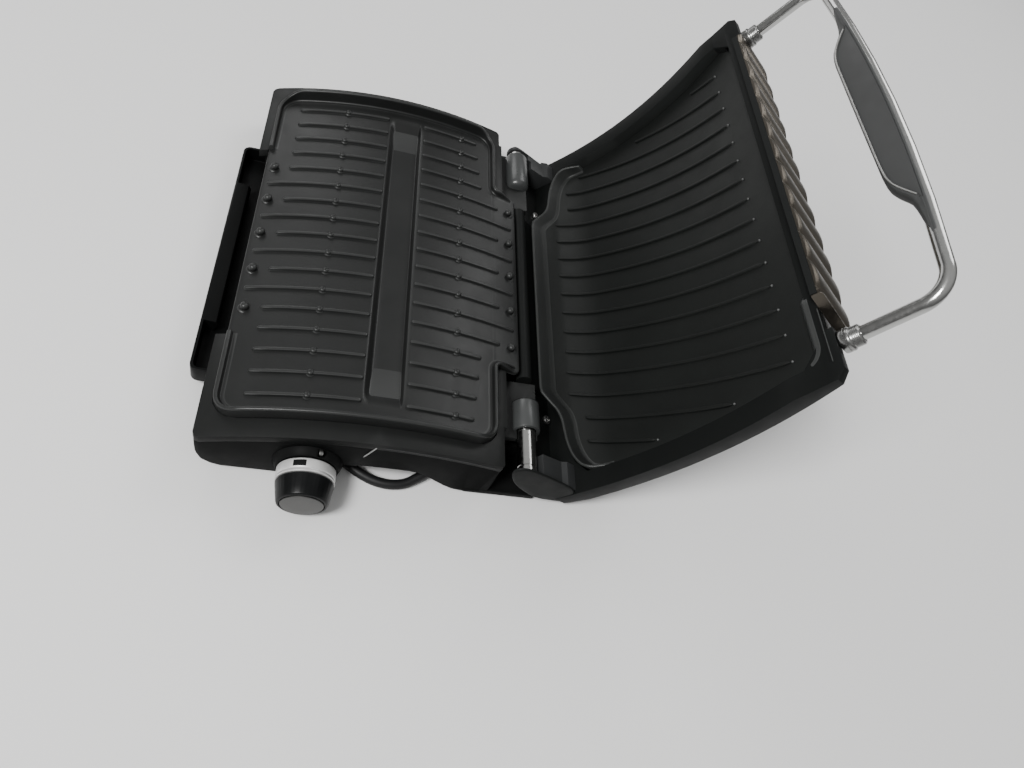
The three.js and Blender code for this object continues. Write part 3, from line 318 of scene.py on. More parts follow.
def nonstick(name, col, rough, lift, spec=0.3, rim=0.75):
    m = Nodes(name)
    cloud = m.noise(7.0, 5.0, 0.62, dist=0.3)
    dark = tuple(c * 0.8 for c in col)
    lite = tuple(c * lift for c in col)
    base = m.mix(m.remap(cloud, 0.32, 0.68, 0.0, 1.0), dark, lite)
    # sparse metallic flecks in the coating
    fleck = m.remap(m.voronoi(900.0), 0.0, 0.16, 1.0, 0.0)
    pick = m.remap(m.noise(700.0, 1.0, 0.5), 0.56, 0.62, 0.0, 1.0)
    fl = m.math('MULTIPLY', m.math('MULTIPLY', fleck, pick), 0.5)
    base = m.mix(fl, base, tuple(min(1, c * 2.6 + 0.03) for c in col))
    # pointy edges lightened by rim: a painted highlight along rib tops and rim edges
    edge = m.math('MULTIPLY', m.edge(0.508, 0.57), rim)
    base = m.mix(edge, base, tuple(min(1, c * 2.6 + 0.012) for c in col))
    m.link(base, m.p.inputs['Base Color'])
    rr = m.remap(m.noise(26.0, 5.0, 0.65, dist=0.8), 0.3, 0.7, rough - 0.06, rough + 0.06)
    m.link(rr, m.p.inputs['Roughness'])
    m.set(Metallic=0.2, Specular_IOR_Level=spec)
    peel = m.noise(420.0, 3.0, 0.55)
    grit = m.noise(2300.0, 2.0, 0.6)
    b = m.bump(grit, 0.35, 0.00004)
    b = m.bump(peel, 0.25, 0.00012, b)
    m.link(b, m.p.inputs['Normal'])
    return m.mat


def metal(name, col, rough, stretch=(1, 1, 1), streak=900.0, depth=0.25, scratch=0.35, var=0.06):
    m = Nodes(name)
    s = m.noise(streak, 2.0, 0.6, stretch=stretch)
    cloud = m.noise(22.0, 4.0, 0.65)
    a = tuple(c * (1 - var) for c in col)
    b2 = tuple(min(1, c * (1 + var)) for c in col)
    m.link(m.mix(m.remap(cloud, 0.3, 0.7, 0.0, 1.0), a, b2), m.p.inputs['Base Color'])
    r = m.math('ADD', m.remap(s, 0.3, 0.7, rough - 0.04, rough + 0.06), m.math('MULTIPLY', m.remap(m.noise(55.0, 5.0, 0.7), 0.55, 0.75, 0.0, 1.0), 0.08))
    m.link(r, m.p.inputs['Roughness'])
    m.set(Metallic=1.0)
    v = m.remap(m.voronoi(260.0, 'DISTANCE_TO_EDGE'), 0.0, 0.006, 1.0, 0.0)
    b = m.bump(s, depth, 0.00003)
    b = m.bump(v, 0.05 * scratch, 0.00004, b)
    m.link(b, m.p.inputs['Normal'])
    return m.mat


M_HOUSE = plastic("housing_plastic", (0.0078, 0.0083, 0.0081), 0.40, spec=0.16, edge_wear_and_highlight=0.6)
M_LIDF = plastic("lid_frame_plastic", (0.0040, 0.0046, 0.0044), 0.42, spec=0.08, edge_wear_and_highlight=0.6)
M_ARM = plastic("arm_plastic", (0.0190, 0.0200, 0.0205), 0.40, spec=0.25)
M_TUB = plastic("tub_plastic", (0.0022, 0.0024, 0.0024), 0.45, spec=0.03, edge_wear_and_highlight=0.5)
M_TRAY = plastic("tray_plastic", (0.0022, 0.0025, 0.0025), 0.42, grain_h=0.00001, edge_wear_and_highlight=0.2, spec=0.1)
M_GRIP = plastic("grip_plastic", (0.032, 0.033, 0.033), 0.46, grain=1900.0, grain_h=0.00005, spec=0.4)
M_BARREL = plastic("barrel_plastic", (0.034, 0.036, 0.036), 0.30, grain=1400.0, grain_h=0.00002, var=0.15)
M_COVER = plastic("cover_plastic", (0.010, 0.011, 0.0112), 0.30, grain=900.0, grain_h=0.00002, spec=0.35)
M_KNOB = plastic("knob_plastic", (0.0026, 0.0029, 0.0031), 0.32, spec=0.15)
M_RUBBER = plastic("foot_rubber", (0.012, 0.012, 0.012), 0.75, grain=900.0, grain_h=0.0001, edge_wear_and_highlight=0.1)
M_CORD = plastic("lead_sheath", (0.006, 0.0062, 0.0066), 0.5, grain=1200.0, grain_h=0.00006, edge_wear_and_highlight=0.1, spec=0.3)
M_CERAMIC = plastic("ceramic_white", (0.62, 0.58, 0.48), 0.55, grain=800.0, grain_h=0.0001, var=0.08, edge_wear_and_highlight=0.1)
M_LOW = nonstick("coating_lower", (0.0120, 0.0126, 0.0124), 0.40, 1.3, spec=0.34)
# light grey plastic for wires that draw edge highlights: painted highlight
M_EDGE_HIGHLIGHT = plastic("painted_edge_highlight", (0.17, 0.17, 0.168), 0.3, spec=0.5)
# light plastic for dots at the rib ends: painted glints
M_TIP_GLINT = plastic("rib_tip_glint", (0.055, 0.057, 0.056), 0.3, spec=0.5)
# lighter copy of the upper coating with strong edge lightening for the plate rim: painted light
M_UPPER_RIM_LIT = nonstick("coating_upper_rim_painted_light", (0.0150, 0.0162, 0.0156), 0.45, 1.2, spec=0.35, rim=0.8)
# lighter plastic for the shaded inner wall of the lid frame: painted light
M_FRAME_WALL_LIT = plastic("frame_wall_painted_light", (0.0130, 0.0142, 0.0136), 0.5, spec=0.2)
# darker copy of the housing plastic for the side wall facing the key lamp: painted shade
M_HOUSE_SIDE_SHADE = plastic("housing_side_painted_shade", (0.0034, 0.0037, 0.0036), 0.44, spec=0.07, edge_wear_and_highlight=0.6)
# lighter copy of the upper coating for the front lip and seam line: painted light
M_LIP_LIT = nonstick("coating_lip_painted_light", (0.0250, 0.0266, 0.0260), 0.38, 1.2, spec=0.5, rim=0.4)
M_UP = nonstick("coating_upper", (0.0066, 0.0076, 0.0070), 0.50, 1.2, rim=0.12)
M_CHROME = metal("chrome", (0.46, 0.46, 0.452), 0.17, (1, 1, 1), 500.0, 0.12)
M_FASCIA = metal("bronze_anodised", (0.120, 0.107, 0.090), 0.34, (1, 1, 14), 260.0, 0.5, 0.5, 0.12)
M_SILVER = metal("satin_silver", (0.30, 0.30, 0.295), 0.26, (1, 14, 14), 300.0, 0.35, 0.4)
M_RING = metal("satin_ring", (0.66, 0.66, 0.655), 0.42, (1, 14, 14), 300.0, 0.3, 0.4)
M_RING.node_tree.nodes["Principled BSDF"].inputs["Metallic"].default_value = 0.5
# bright metal for the grip bead: painted highlight
M_BEAD_HIGHLIGHT = metal("painted_highlight_bead", (0.42, 0.42, 0.41), 0.3)
M_CAP = metal("brushed_cap", (0.095, 0.095, 0.093), 0.40, (1, 3, 3), 900.0, 0.5, 0.4)
M_SCREW = metal("zinc_screw", (0.55, 0.55, 0.54), 0.32)
M_BRASS = metal("plug_brass", (0.78, 0.60, 0.30), 0.28)
M_ELEMENT = metal("element_sheath", (0.10, 0.10, 0.10), 0.5)
M_TIN = metal("tin_sheet", (0.60, 0.60, 0.61), 0.35)

# ------------------------------------------------------------------- cord
CD = 6.4
CZ = TABLE + CD / 2 + 0.1
G0, G1 = Vector((136.5, 64, -41.2)), Vector((145.4, 40, -43.4))
COIL = (-80.0, 232.0, 35.2)


def catmull(pts, per):
    pts = [Vector(p) for p in pts]
    P = [pts[0] * 2 - pts[1]] + pts + [pts[-1] * 2 - pts[-2]]
    out = []
    for i in range(1, len(P) - 2):
        p0, p1, p2, p3 = P[i - 1:i + 3]
        t0 = 0.0
        t1 = t0 + max(1e-6, (p1 - p0).length) ** 0.5
        t2 = t1 + max(1e-6, (p2 - p1).length) ** 0.5
        t3 = t2 + max(1e-6, (p3 - p2).length) ** 0.5
        for k in range(per):
            t = t1 + (t2 - t1) * k / per
            a1 = p0 * ((t1 - t) / (t1 - t0)) + p1 * ((t - t0) / (t1 - t0))
            a2 = p1 * ((t2 - t) / (t2 - t1)) + p2 * ((t - t1) / (t2 - t1))
            a3 = p2 * ((t3 - t) / (t3 - t2)) + p3 * ((t - t2) / (t3 - t2))
            b1 = a1 * ((t2 - t) / (t2 - t0)) + a2 * ((t - t0) / (t2 - t0))
            b2 = a2 * ((t3 - t) / (t3 - t1)) + a3 * ((t - t1) / (t3 - t1))
            out.append(b1 * ((t2 - t) / (t2 - t1)) + b2 * ((t - t1) / (t2 - t1)))
    out.append(pts[-1])
    return out


gd = (G1 - G0).normalized()
st = G1 + gd * 0.3
ctl = [st, st + gd * 3, (150.4, 31, -45.4), (155.2, 22.6, -47.0), (157.1, 13, CZ), (155.4, 2, CZ), (149.6, -9.6, CZ), (140.0, -22, CZ),
       (127.0, -32.2, CZ), (111, -38, CZ), (92, -39.6, CZ), (70, -40, CZ)]
lead = catmull(ctl, 4)
for x in (45, 15, -20, -55, -90, -120, -134):
    lead.append(Vector((x, -40, CZ)))
for i in range(0, 7):
    t = -pi / 2 - (i / 6) * pi / 2
    lead.append(Vector((-142 + 28 * cos(t), -12 + 28 * sin(t), CZ)))
for y in (6, 40, 80, 120, 146):
    lead.append(Vector((-170, y, CZ)))
for i in range(0, 8):
    t = pi - (i / 7) * pi / 2
    lead.append(Vector((-130 + 40 * cos(t), COIL[1] - COIL[2] - 40 + 40 * sin(t), CZ)))
lead.append(Vector((-112, COIL[1] - COIL[2], CZ)))
lead.append(Vector((-95, COIL[1] - COIL[2], CZ)))
# two turns: the first on the table, the second climbing onto it
TURN = 2 * pi
NT = 22
for i in range(0, 2 * NT + 1):
    a = i / NT
    ang = -pi / 2 + a * TURN
    rise = (CD + 0.15) * sm(0.80, 1.20, a)
    lead.append(Vector((COIL[0] + COIL[2] * cos(ang), COIL[1] + COIL[2] * sin(ang), CZ + rise)))
# off the top of the coil and down to the plug
PY, PZ = COIL[1] - COIL[2], TABLE + 6.6
for p in ((-70, PY, CZ + 6.4), (-62, PY, CZ + 6.0), (-54, PY, CZ + 5.0), (-46, PY, PZ), (-40, PY, PZ), (-36, PY, PZ)):
    lead.append(Vector(p))
cu = bpy.data.curves.new("mains_lead", 'CURVE')
cu.dimensions = '3D'
cu.bevel_depth = CD / 2 * 0.001
cu.bevel_resolution = 5
cu.resolution_u = 1
cu.use_fill_caps = True
sp = cu.splines.new('POLY')
sp.points.add(len(lead) - 1)
for i, p in enumerate(lead):
    w = W(*p)
    sp.points[i].co = (w[0], w[1], w[2], 1)
cu.materials.append(M_CORD)
cord_ob = bpy.data.objects.new("mains_lead", cu)
bpy.context.scene.collection.objects.link(cord_ob)
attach(cord_ob, "base")
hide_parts("power_cord", "cord_coil", "cord_tail")

# plug, moulded
plug = softened("plug_body", "plug_moulding", "base", M_CORD, 1.2, 3, 30)
for n in ("plug_blade_1", "plug_blade_2"):
    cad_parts[n].data.materials.clear()
    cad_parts[n].data.materials.append(M_BRASS)

# ------------------------------------------------------------ mesh helpers
def chaikin(pts, n=2):
    for _ in range(n):
        out = [pts[0]]
        for a, b in zip(pts[:-1], pts[1:]):
            out.append(tuple(a[k] * 0.75 + b[k] * 0.25 for k in range(len(a))))
            out.append(tuple(a[k] * 0.25 + b[k] * 0.75 for k in range(len(a))))
        out.append(pts[-1])
        pts = out
    return pts


def interp(table, x):
    if x <= table[0][0]:
        return table[0][1]
    for (a, va), (b, vb) in zip(table[:-1], table[1:]):
        if x <= b:
            return va + (vb - va) * (x - a) / (b - a)
    return table[-1][1]


def turn_ring(mesh, profile, at, axis='x', seg=48):
    """closed lathe section: profile is a closed loop of (radius, along)"""
    rows = []
    for k in range(seg):
        t = 2 * pi * k / seg
        row = []
        for r, h in profile:
            u, v = r * cos(t), r * sin(t)
            if axis == 'z':
                row.append((at[0] + u, at[1] + v, at[2] + h))
            elif axis == 'x':
                row.append((at[0] + h, at[1] + u, at[2] + v))
            else:
                row.append((at[0] + v, at[1] + h, at[2] + u))
        rows.append(row)
    mesh.rows(rows, close_row=True, close_all=True)


def dome(mesh, at, r, h, ring=0.0, seg=14, tilt=0.0):
    prof = [(r + ring + 0.5, -0.6), (r + ring, 0.05), (r + ring * 0.4, 0.22), (r, 0.35), (r * 0.98, h * 0.5), (r * 0.86, h * 0.78), (r * 0.55, h * 0.94), (r * 0.2, h)]
    mesh.revolve(prof, at, 'z', seg)


RIB = [(-1.75, -0.25), (-1.25, 0.14), (-1.04, 0.70), (-0.86, 0.92), (-0.5, 1.0), (0.5, 1.0), (0.86, 0.92), (1.04, 0.70), (1.25, 0.14), (1.75, -0.25)]


def rib(mesh, path, width, height, sign=1.0, tip=1.6, tip_end=None, n=9, foot=1.0):
    """path(t) -> (x, y, z); the section lies across x"""
    tip_end = tip if tip_end is None else tip_end
    a, b = path(0.0), path(1.0)
    ln = sqrt(sum((b[k] - a[k]) ** 2 for k in range(3)))
    st = [0, 0.12 * tip, 0.4 * tip, tip]
    st += [tip + (ln - tip - tip_end) * i / n for i in range(1, n)]
    st += [ln - tip_end, ln - 0.4 * tip_end, ln - 0.12 * tip_end, ln]
    rows = []
    for s in st:
        k = 1.0
        if s < tip:
            k = min(k, sqrt(max(0.0, 1 - (1 - s / tip) ** 2)))
        if ln - s < tip_end:
            k = min(k, sqrt(max(0.0, 1 - (1 - (ln - s) / tip_end) ** 2)))
        k = max(k, 0.12)
        x, y, z = path(s / ln)
        rows.append([(x + u * width / 2 * k, y, z + sign * v * height * (0.35 + 0.65 * k)) for u, v in RIB])
    mesh.rows(rows, close_row=True, cap0=True, cap1=True)


def outward(path):
    """unit normals of a plan path, to the right of its direction"""
    out = []
    for i in range(len(path)):
        a, b = path[max(0, i - 1)], path[min(len(path) - 1, i + 1)]
        tx, ty = b[0] - a[0], b[1] - a[1]
        l = sqrt(tx * tx + ty * ty)
        out.append((ty / l, -tx / l))
    return out


# ============================================================ BASE pieces
# ---- lower cooking plate
def channel(x, y):
    f = sm(-13.4, -7.8, y) * (1 - sm(9.4, 11.4, y))
    return -4.6 * f * (1 - sm(117.5, 131.5, abs(x)))


PHX, PY0, PY1 = 143.6, -96.5, 72.6


def plate_hw(y, inset=2.0):
    r = 16.0
    if y < PY0 + r:
        d = PY0 + r - y
    elif y > PY1 - r:
        d = y - (PY1 - r)
    else:
        d = 0.0
    return PHX - r + sqrt(max(0.0, r * r - d * d)) - inset


low = Mesh()
tx = [0, 0.08, 0.16, 0.24, 0.32, 0.4, 0.48, 0.56, 0.64, 0.72, 0.78, 0.815, 0.83, 0.845, 0.86, 0.875, 0.89, 0.905, 0.92, 0.93, 0.945, 0.97, 1.0]
ts = [-t for t in tx[:0:-1]] + tx
ys = [-96.45, -96.0, -95.2, -93, -90, -86, -82, -78, -72, -66, -60, -52, -44, -36, -28, -20, -14.5]
ys += [-13.4 + 0.56 * i for i in range(11)] + [-5, 0, 5, 8.6] + [9.4 + 0.25 * i for i in range(9)] + [14, 20, 28, 36, 44, 52, 60, 66, 69, 71, 72.0, 72.4]
rows = []
for y in ys:
    hw = max(plate_hw(y), 100.0)
    drop = 0.55 if y == ys[0] else 0.12 if y == ys[1] else 0.0
    top = [(t * hw, y, arch(y) + channel(t * hw, y) - drop) for t in ts]
    bot = [(t * hw, y, arch(y) - 3.0 + channel(t * hw, y) * 0.6) for t in (1, 0.5, 0, -0.5, -1)]
    rows.append(top + bot)
low.rows(rows, close_row=True, cap0=True, cap1=True)
# overhanging rear edge between the hinge blocks
rows = []
for y in [66, 70, 72.6, 75, 78, 81, 84, 86.5, 88, 89, 89.6, 89.95]:
    r = 5.0
    d = max(0.0, y - (90 - r))
    hw = 82.6 - r + sqrt(max(0.0, r * r - d * d))
    e = 0.0 if y < 89 else 0.15 if y < 89.7 else 0.6
    rows.append([(-hw, y, arch(y) - 0.5 - e), (-hw + 0.5, y, arch(y) - e), (-40, y, arch(y) - e), (0, y, arch(y) - e), (40, y, arch(y) - e), (hw - 0.5, y, arch(y) - e),
                 (hw, y, arch(y) - 0.5 - e), (hw, y, arch(y) - 3), (0, y, arch(y) - 3), (-hw, y, arch(y) - 3)])
low.rows(rows, close_row=True, cap0=True, cap1=True)


def rim_path(side):
    r, cx = 16.0, PHX - 16.0
    p = [(84.0, PY0), (92, PY0), (104, PY0), (116, PY0), (124, PY0)]
    p += [(cx + r * cos(radians(a)), PY0 + r + r * sin(radians(a))) for a in range(-90, 1, 9)]
    p += [(PHX, y) for y in lin(PY0 + r + 5, PY1 - r - 5, 24)]
    p += [(cx + r * cos(radians(a)), PY1 - r + r * sin(radians(a))) for a in range(0, 91, 9)]
    p += [(124, PY1), (112, PY1), (100, PY1), (91, PY1), (86.5, PY1)]
    # the rim turns back along the side of the rear overhang
    p += [(85.6 - 3 * sin(radians(a)), PY1 + 3 - 3 * cos(radians(a))) for a in range(10, 91, 10)]
    p += [(82.6, PY1 + 5.5), (82.6, PY1 + 8), (82.6, PY1 + 10.5), (82.6, PY1 + 12), (82.6, PY1 + 13.6)]
    return [(side * x, y) for x, y in p]


def rim_h(y):
    if y < -60:
        return 4.3 + 4.6 * sm(-97, -79, y)
    return (4.6 + 4.3 * (1 - sm(57, 72, y))) * (1 - 0.86 * sm(73.5, 86.6, y))


for side in (1, -1):
    path = rim_path(side)
    nrm = outward(path)
    if side < 0:
        nrm = [(-a, -b) for a, b in nrm]
    rows = []
    for (x, y), (nx, ny) in zip(path, nrm):
        H = rim_h(y)
        sec = [(0.1, -3.0), (0.0, -1.2), (0.0, H - 1.3), (0.12, H - 0.7), (0.5, H - 0.2), (1.1, H), (1.9, H), (2.4, H - 0.22), (2.75, H - 0.75), (2.95, H - 1.4),
               (3.35, 1.5), (3.7, 0.7), (4.3, 0.25), (5.4, 0.04), (6.2, 0.0), (6.2, -1.0), (2.0, -3.0)]
        rows.append([(x - nx * i, y - ny * i, arch(y - ny * i * (1 if v < 1.6 else 0.5)) + v) for i, v in sec])
    low.rows(rows, close_row=True, cap0=True, cap1=True)

for i in range(1, 18):
    x = (i - 9) * 16.0
    longer = i in (6, 8, 10, 12)
    ya = -92.6 if longer else -80.0
    yr = 86.2 if longer else (56.5 + 1.6 * (i - 1 if i <= 4 else 17 - i) if (i <= 4 or i >= 14) else 75.0)
    for a, b in ((ya, -13.6), (13.0, yr)):
        rib(low, (lambda t, a=a, b=b, x=x: (x, a + (b - a) * t, arch(a + (b - a) * t))), 2.25, 1.75)
    for y in (-44.6, 44.0):
        dome(low, (x, y, arch(y) + 0.9), 2.0, 1.9, 0.25)
for i in range(5, 14, 2):
    x = (i - 9) * 16.0
    for y in (-89.6, 83.5):
        dome(low, (x, y, arch(y)), 2.7, 4.2, 1.1, seg=20)
LOWER = build("lower_grill_casting", low, "base", M_LOW, nodes=("lower_plate",), angle=42)

# ---- frame of the base and hinge barrels
BZ = softened("base_bezel", "base_top_frame", "base", M_HOUSE, 0.7, 3, 30)
# faces of the right side wall, which face the key lamp, get the darker copy: painted shade
BZ.data.materials.append(M_HOUSE_SIDE_SHADE)
for q in BZ.data.polygons:
    if q.center.x - TX * 0.001 > 0.150 and q.normal.x > 0.9:
        q.material_index = 1
softened("base_tub", "base_lower_case", "base", M_TUB, 1.1, 3, 30)
for side, a, b in ((1, 99.4, 121.0), (-1, -142.3, -105.8)):
    m = Mesh()
    R = 9.55
    if side > 0:
        prof = [(6.0, a), (R - 1.6, a), (R - 0.45, a + 0.45), (R, a + 1.6), (R, b - 0.9), (R - 0.25, b - 0.25), (R - 0.9, b), (7.4, b), (6.95, b - 0.5), (6.85, b - 6), (6.0, b - 6)]
    else:
        prof = [(1.2, b), (R - 5.6, b), (R - 3.2, b - 0.5), (R - 1.3, b - 1.8), (R - 0.35, b - 3.6), (R, b - 5.6), (R, a + 0.9), (R - 0.25, a + 0.25), (R - 0.9, a), (7.4, a), (6.95, a + 0.5), (6.85, a + 6), (1.2, a + 6)]
    turn_ring(m, prof, (0, PIN_Y, PIN_Z), 'x', 56)
    build("hinge_barrel_%s" % ("right" if side > 0 else "left"), m, "base", M_BARREL, angle=34)

# ---- drip tray and rear channel
softened("drip_tray", "drip_tray_moulding", "drip_tray", M_TRAY, 1.0, 3, 30)
softened("rear_drip_channel", "rear_channel_moulding", "base", M_TUB, 0.3, 2, 30)

# ---- dial
KY, KZ = -38.5, -31.5
softened("dial_collar", "dial_collar_moulding", "base", M_TUB, 0.5, 2, 40)
softened("dial_pointer", "dial_pointer_mark", "base", M_SILVER, 0.3, 2, 30)
m = Mesh()
prof = [(3.3, 161.6), (15.9, 161.6), (16.9, 161.9), (17.2, 162.4), (17.2, 167.3), (17.0, 167.7), (16.75, 167.9), (16.75, 168.35), (17.1, 168.6), (17.2, 168.9), (17.2, 169.6), (16.9, 170.0), (3.3, 170.0)]
turn_ring(m, prof, (0, KY, KZ), 'x', 96)
build("knob_ring_turned", m, "knob", M_RING, nodes=("knob_ring",), angle=30)
m = Mesh()
mark = []
for r in (17.1, 17.38):
    for h0, h1 in ((163.3, 167.0),):
        for k in range(7):
            t = radians(93 + 14 * k / 6.0)
            mark.append((r, h0, t))
rowsm = []
for k in range(9):
    t = radians(93 + 25 * k / 8.0)
    rowsm.append([(163.2, KY + 17.0 * cos(t), KZ + 17.0 * sin(t)), (163.2, KY + 17.32 * cos(t), KZ + 17.32 * sin(t)),
                  (167.0, KY + 17.32 * cos(t), KZ + 17.32 * sin(t)), (167.0, KY + 17.0 * cos(t), KZ + 17.0 * sin(t))])
m.rows(rowsm, close_row=True, cap0=True, cap1=True)
build("knob_ring_mark", m, "knob", M_KNOB)
m = Mesh()
prof = [(3.3, 170.3), (15.6, 170.3), (16.4, 170.5), (16.85, 171.1), (16.8, 172.0), (15.7, 178.5), (14.95, 182.4), (14.6, 183.2), (14.0, 183.7), (13.2, 183.7), (12.95, 183.4), (12.9, 182.8), (3.3, 182.8)]
rows = []
SEG = 120
for k in range(SEG):
    t = 2 * pi * k / SEG
    row = []
    for j, (r, h) in enumerate(prof):
        g = 0.16 * (0.5 - 0.5 * cos(t * 40)) if 4 <= j <= 5 else 0.0
        row.append((h, KY + (r - g) * cos(t), KZ + (r - g) * sin(t)))
    rows.append(row)
m.rows(rows, close_row=True, close_all=True)
build("knob_grip_turned", m, "knob", M_KNOB, nodes=("knob_body",), angle=40)
m = Mesh()
m.revolve([(12.4, 183.1), (12.45, 183.9), (12.2, 184.2), (11.2, 184.36), (6, 184.5), (0.4, 184.52)], (0, KY, KZ), 'x', 72)
build("knob_cap_disc", m, "knob", M_CAP, nodes=("knob_cap",), angle=40)

# thin light wires along the step and the seam of the right side wall: painted highlights of their edges
def wire(name, pts, r, mat, body="base", xf=W):
    m = Mesh()
    c = catmull(pts, 4)
    rows = []
    for i, p in enumerate(c):
        a, b = c[max(0, i - 1)], c[min(len(c) - 1, i + 1)]
        t = (b - a).normalized()
        n1 = t.cross(Vector((1, 0, 0))).normalized()
        n2 = t.cross(n1).normalized()
        k = 0.35 if i in (0, len(c) - 1) else 1.0
        rows.append([tuple(p + (n1 * cos(2 * pi * j / 10) + n2 * sin(2 * pi * j / 10)) * r * k) for j in range(10)])
    m.rows(rows, close_row=True, cap0=True, cap1=True)
    return build(name, m, body, mat, xf=xf, angle=60)


wire("side_step_highlight", [(156.0, -7.6, -17.0), (156.05, -5.0, -11.5), (156.05, -2.9, -6.9), (156.0, -1.6, -4.0)], 0.42, M_EDGE_HIGHLIGHT)
wire("side_seam_highlight", [(156.0, y, arch(y) - 3.5) for y in (0.5, 15, 30, 45, 60, 73)], 0.3, M_ARM)

# ---- feet and screws
for n, x, y in (("foot_front_left", -138, -78), ("foot_front_right", 138, -78), ("foot_rear_left", -138, 92), ("foot_rear_right", 138, 92)):
    m = Mesh()
    turn_ring(m, [(1.5, 0.5), (5.6, 0.5), (6.1, 0.0), (8.0, 0.0), (8.6, 0.25), (9.0, 0.9), (9.0, 1.7), (1.5, 1.7)], (x, y, TABLE), 'z', 40)
    build(n + "_pad", m, "base", M_RUBBER, nodes=(n,))


def cross_screw(name, at, r, h, body, xf, axis_up, node, mat):
    """round head with a cross recess; axis_up is +1 when the head looks along +z"""
    m = Mesh()
    s = axis_up
    ringpts = 48
    def rad(k):
        t = 2 * pi * k / ringpts
        return t
    prof = [(r, -h), (r, -0.5), (r * 0.94, -0.15), (r * 0.8, 0.0)]
    rows = []
    for rr, hh in prof:
        rows.append([(at[0] + rr * cos(rad(k)), at[1] + rr * sin(rad(k)), at[2] + s * hh) for k in range(ringpts)])
    for f, dz in ((1.0, 0.0), (0.96, -0.9)):
        row = []
        for k in range(ringpts):
            t = rad(k)
            c, q = abs(cos(t)), abs(sin(t))
            arm = r * 0.62
            w = r * 0.16
            # distance to the outline of a plus sign
            d = min(arm / max(c, q), max(w / max(min(c, q), 1e-4), 0))
            d = min(d, r * 0.66)
            row.append((at[0] + d * f * cos(t), at[1] + d * f * sin(t), at[2] + s * dz))
        rows.append(row)
    m.rows(rows, close_row=True, cap0=True, cap1=True)
    build(name, m, body, mat, xf=xf, nodes=(node,), angle=30)


for i, (x, y) in enumerate(((-118, -60), (118, -60), (-118, 70), (118, 70))):
    cross_screw("case_screw_%d_head" % (i + 1), (x, y, TABLE + 5.2), 3.6, 2.2, "base", W, -1, "case_screw_%d" % (i + 1), M_SCREW)

# ---- strain relief: ribbed rubber sleeve
m = Mesh()
gl = (G1 - G0).length
prof = [(3.0, 0.0), (5.7, 0.0), (5.8, 0.5), (5.8, 3.4)]
hpos = 3.4
while hpos < gl - 3.0:
    r0 = 5.5 - 1.35 * (hpos - 3.4) / (gl - 3.4)
    prof += [(r0, hpos + 0.3), (r0 - 0.55, hpos + 0.7), (r0 - 0.6, hpos + 1.5), (r0 - 0.05, hpos + 1.9), (r0 - 0.05, hpos + 2.6)]
    hpos += 2.7
prof += [(4.05, gl - 0.4), (3.9, gl), (3.0, gl)]
zax = gd
xax = zax.cross(Vector((0, 0, 1))).normalized()
yax = zax.cross(xax).normalized()
rows = []
for k in range(36):
    t = 2 * pi * k / 36
    rows.append([tuple(G0 + zax * h + (xax * cos(t) + yax * sin(t)) * r) for r, h in prof])
m.rows(rows, close_row=True, close_all=True)
build("strain_relief_sleeve", m, "base", M_CORD, nodes=("strain_relief",), angle=34)

# ============================================================= LID pieces
UHX, UY0 = 143.4, -104.0


def rise(y):
    if y < 45:
        return 0.0
    if y < 69:
        return 5 * ((y - 45) / 24) ** 2
    return 5 + 0.42 * (y - 69) + 0.102 * (y - 69) ** 2


def up_surf(y):
    return 11.3 + arch(y) - rise(y)


def up_back(y):
    return 13.9 + arch(y) - max(0.0, rise(y) - 1.2)


UP_OUT = [(UHX, 60.0), (134.0, 68.0), (118.0, 72.5), (99.0, 73.5), (88.0, 78.6), (80.0, 81.5)]


def up_hw(y):
    if y < UY0 + 10:
        d = UY0 + 10 - y
        return UHX - 10 + sqrt(max(0.0, 100 - d * d))
    if y <= 60:
        return UHX
    for (xa, ya), (xb, yb) in zip(UP_OUT[:-1], UP_OUT[1:]):
        if y <= yb:
            return xa + (xb - xa) * (y - ya) / (yb - ya)
    return 80.0


up = Mesh()
rows = []
ty = lin(-1, 1, 24)
for y in [-103.9, -103.5, -102.5, -101, -98, -95, -90, -84, -76, -68, -60, -50, -40, -30, -20, -10, 0, 10, 20, 30, 38, 44, 48, 52, 56, 59, 61, 63, 65, 66.5, 68, 69, 70,
          71, 72, 73, 74, 75, 76, 77, 78, 79, 80]:
    hw = up_hw(y) - 0.4
    e = 0.5 if y < -103.6 else 0.12 if y < -103 else 0.0
    rows.append([(t * hw, y, up_surf(y) + e) for t in ty] + [(t * hw, y, up_back(y)) for t in (1, 0.5, 0, -0.5, -1)])
up.rows(rows, close_row=True, cap0=True, cap1=True, flip=True)

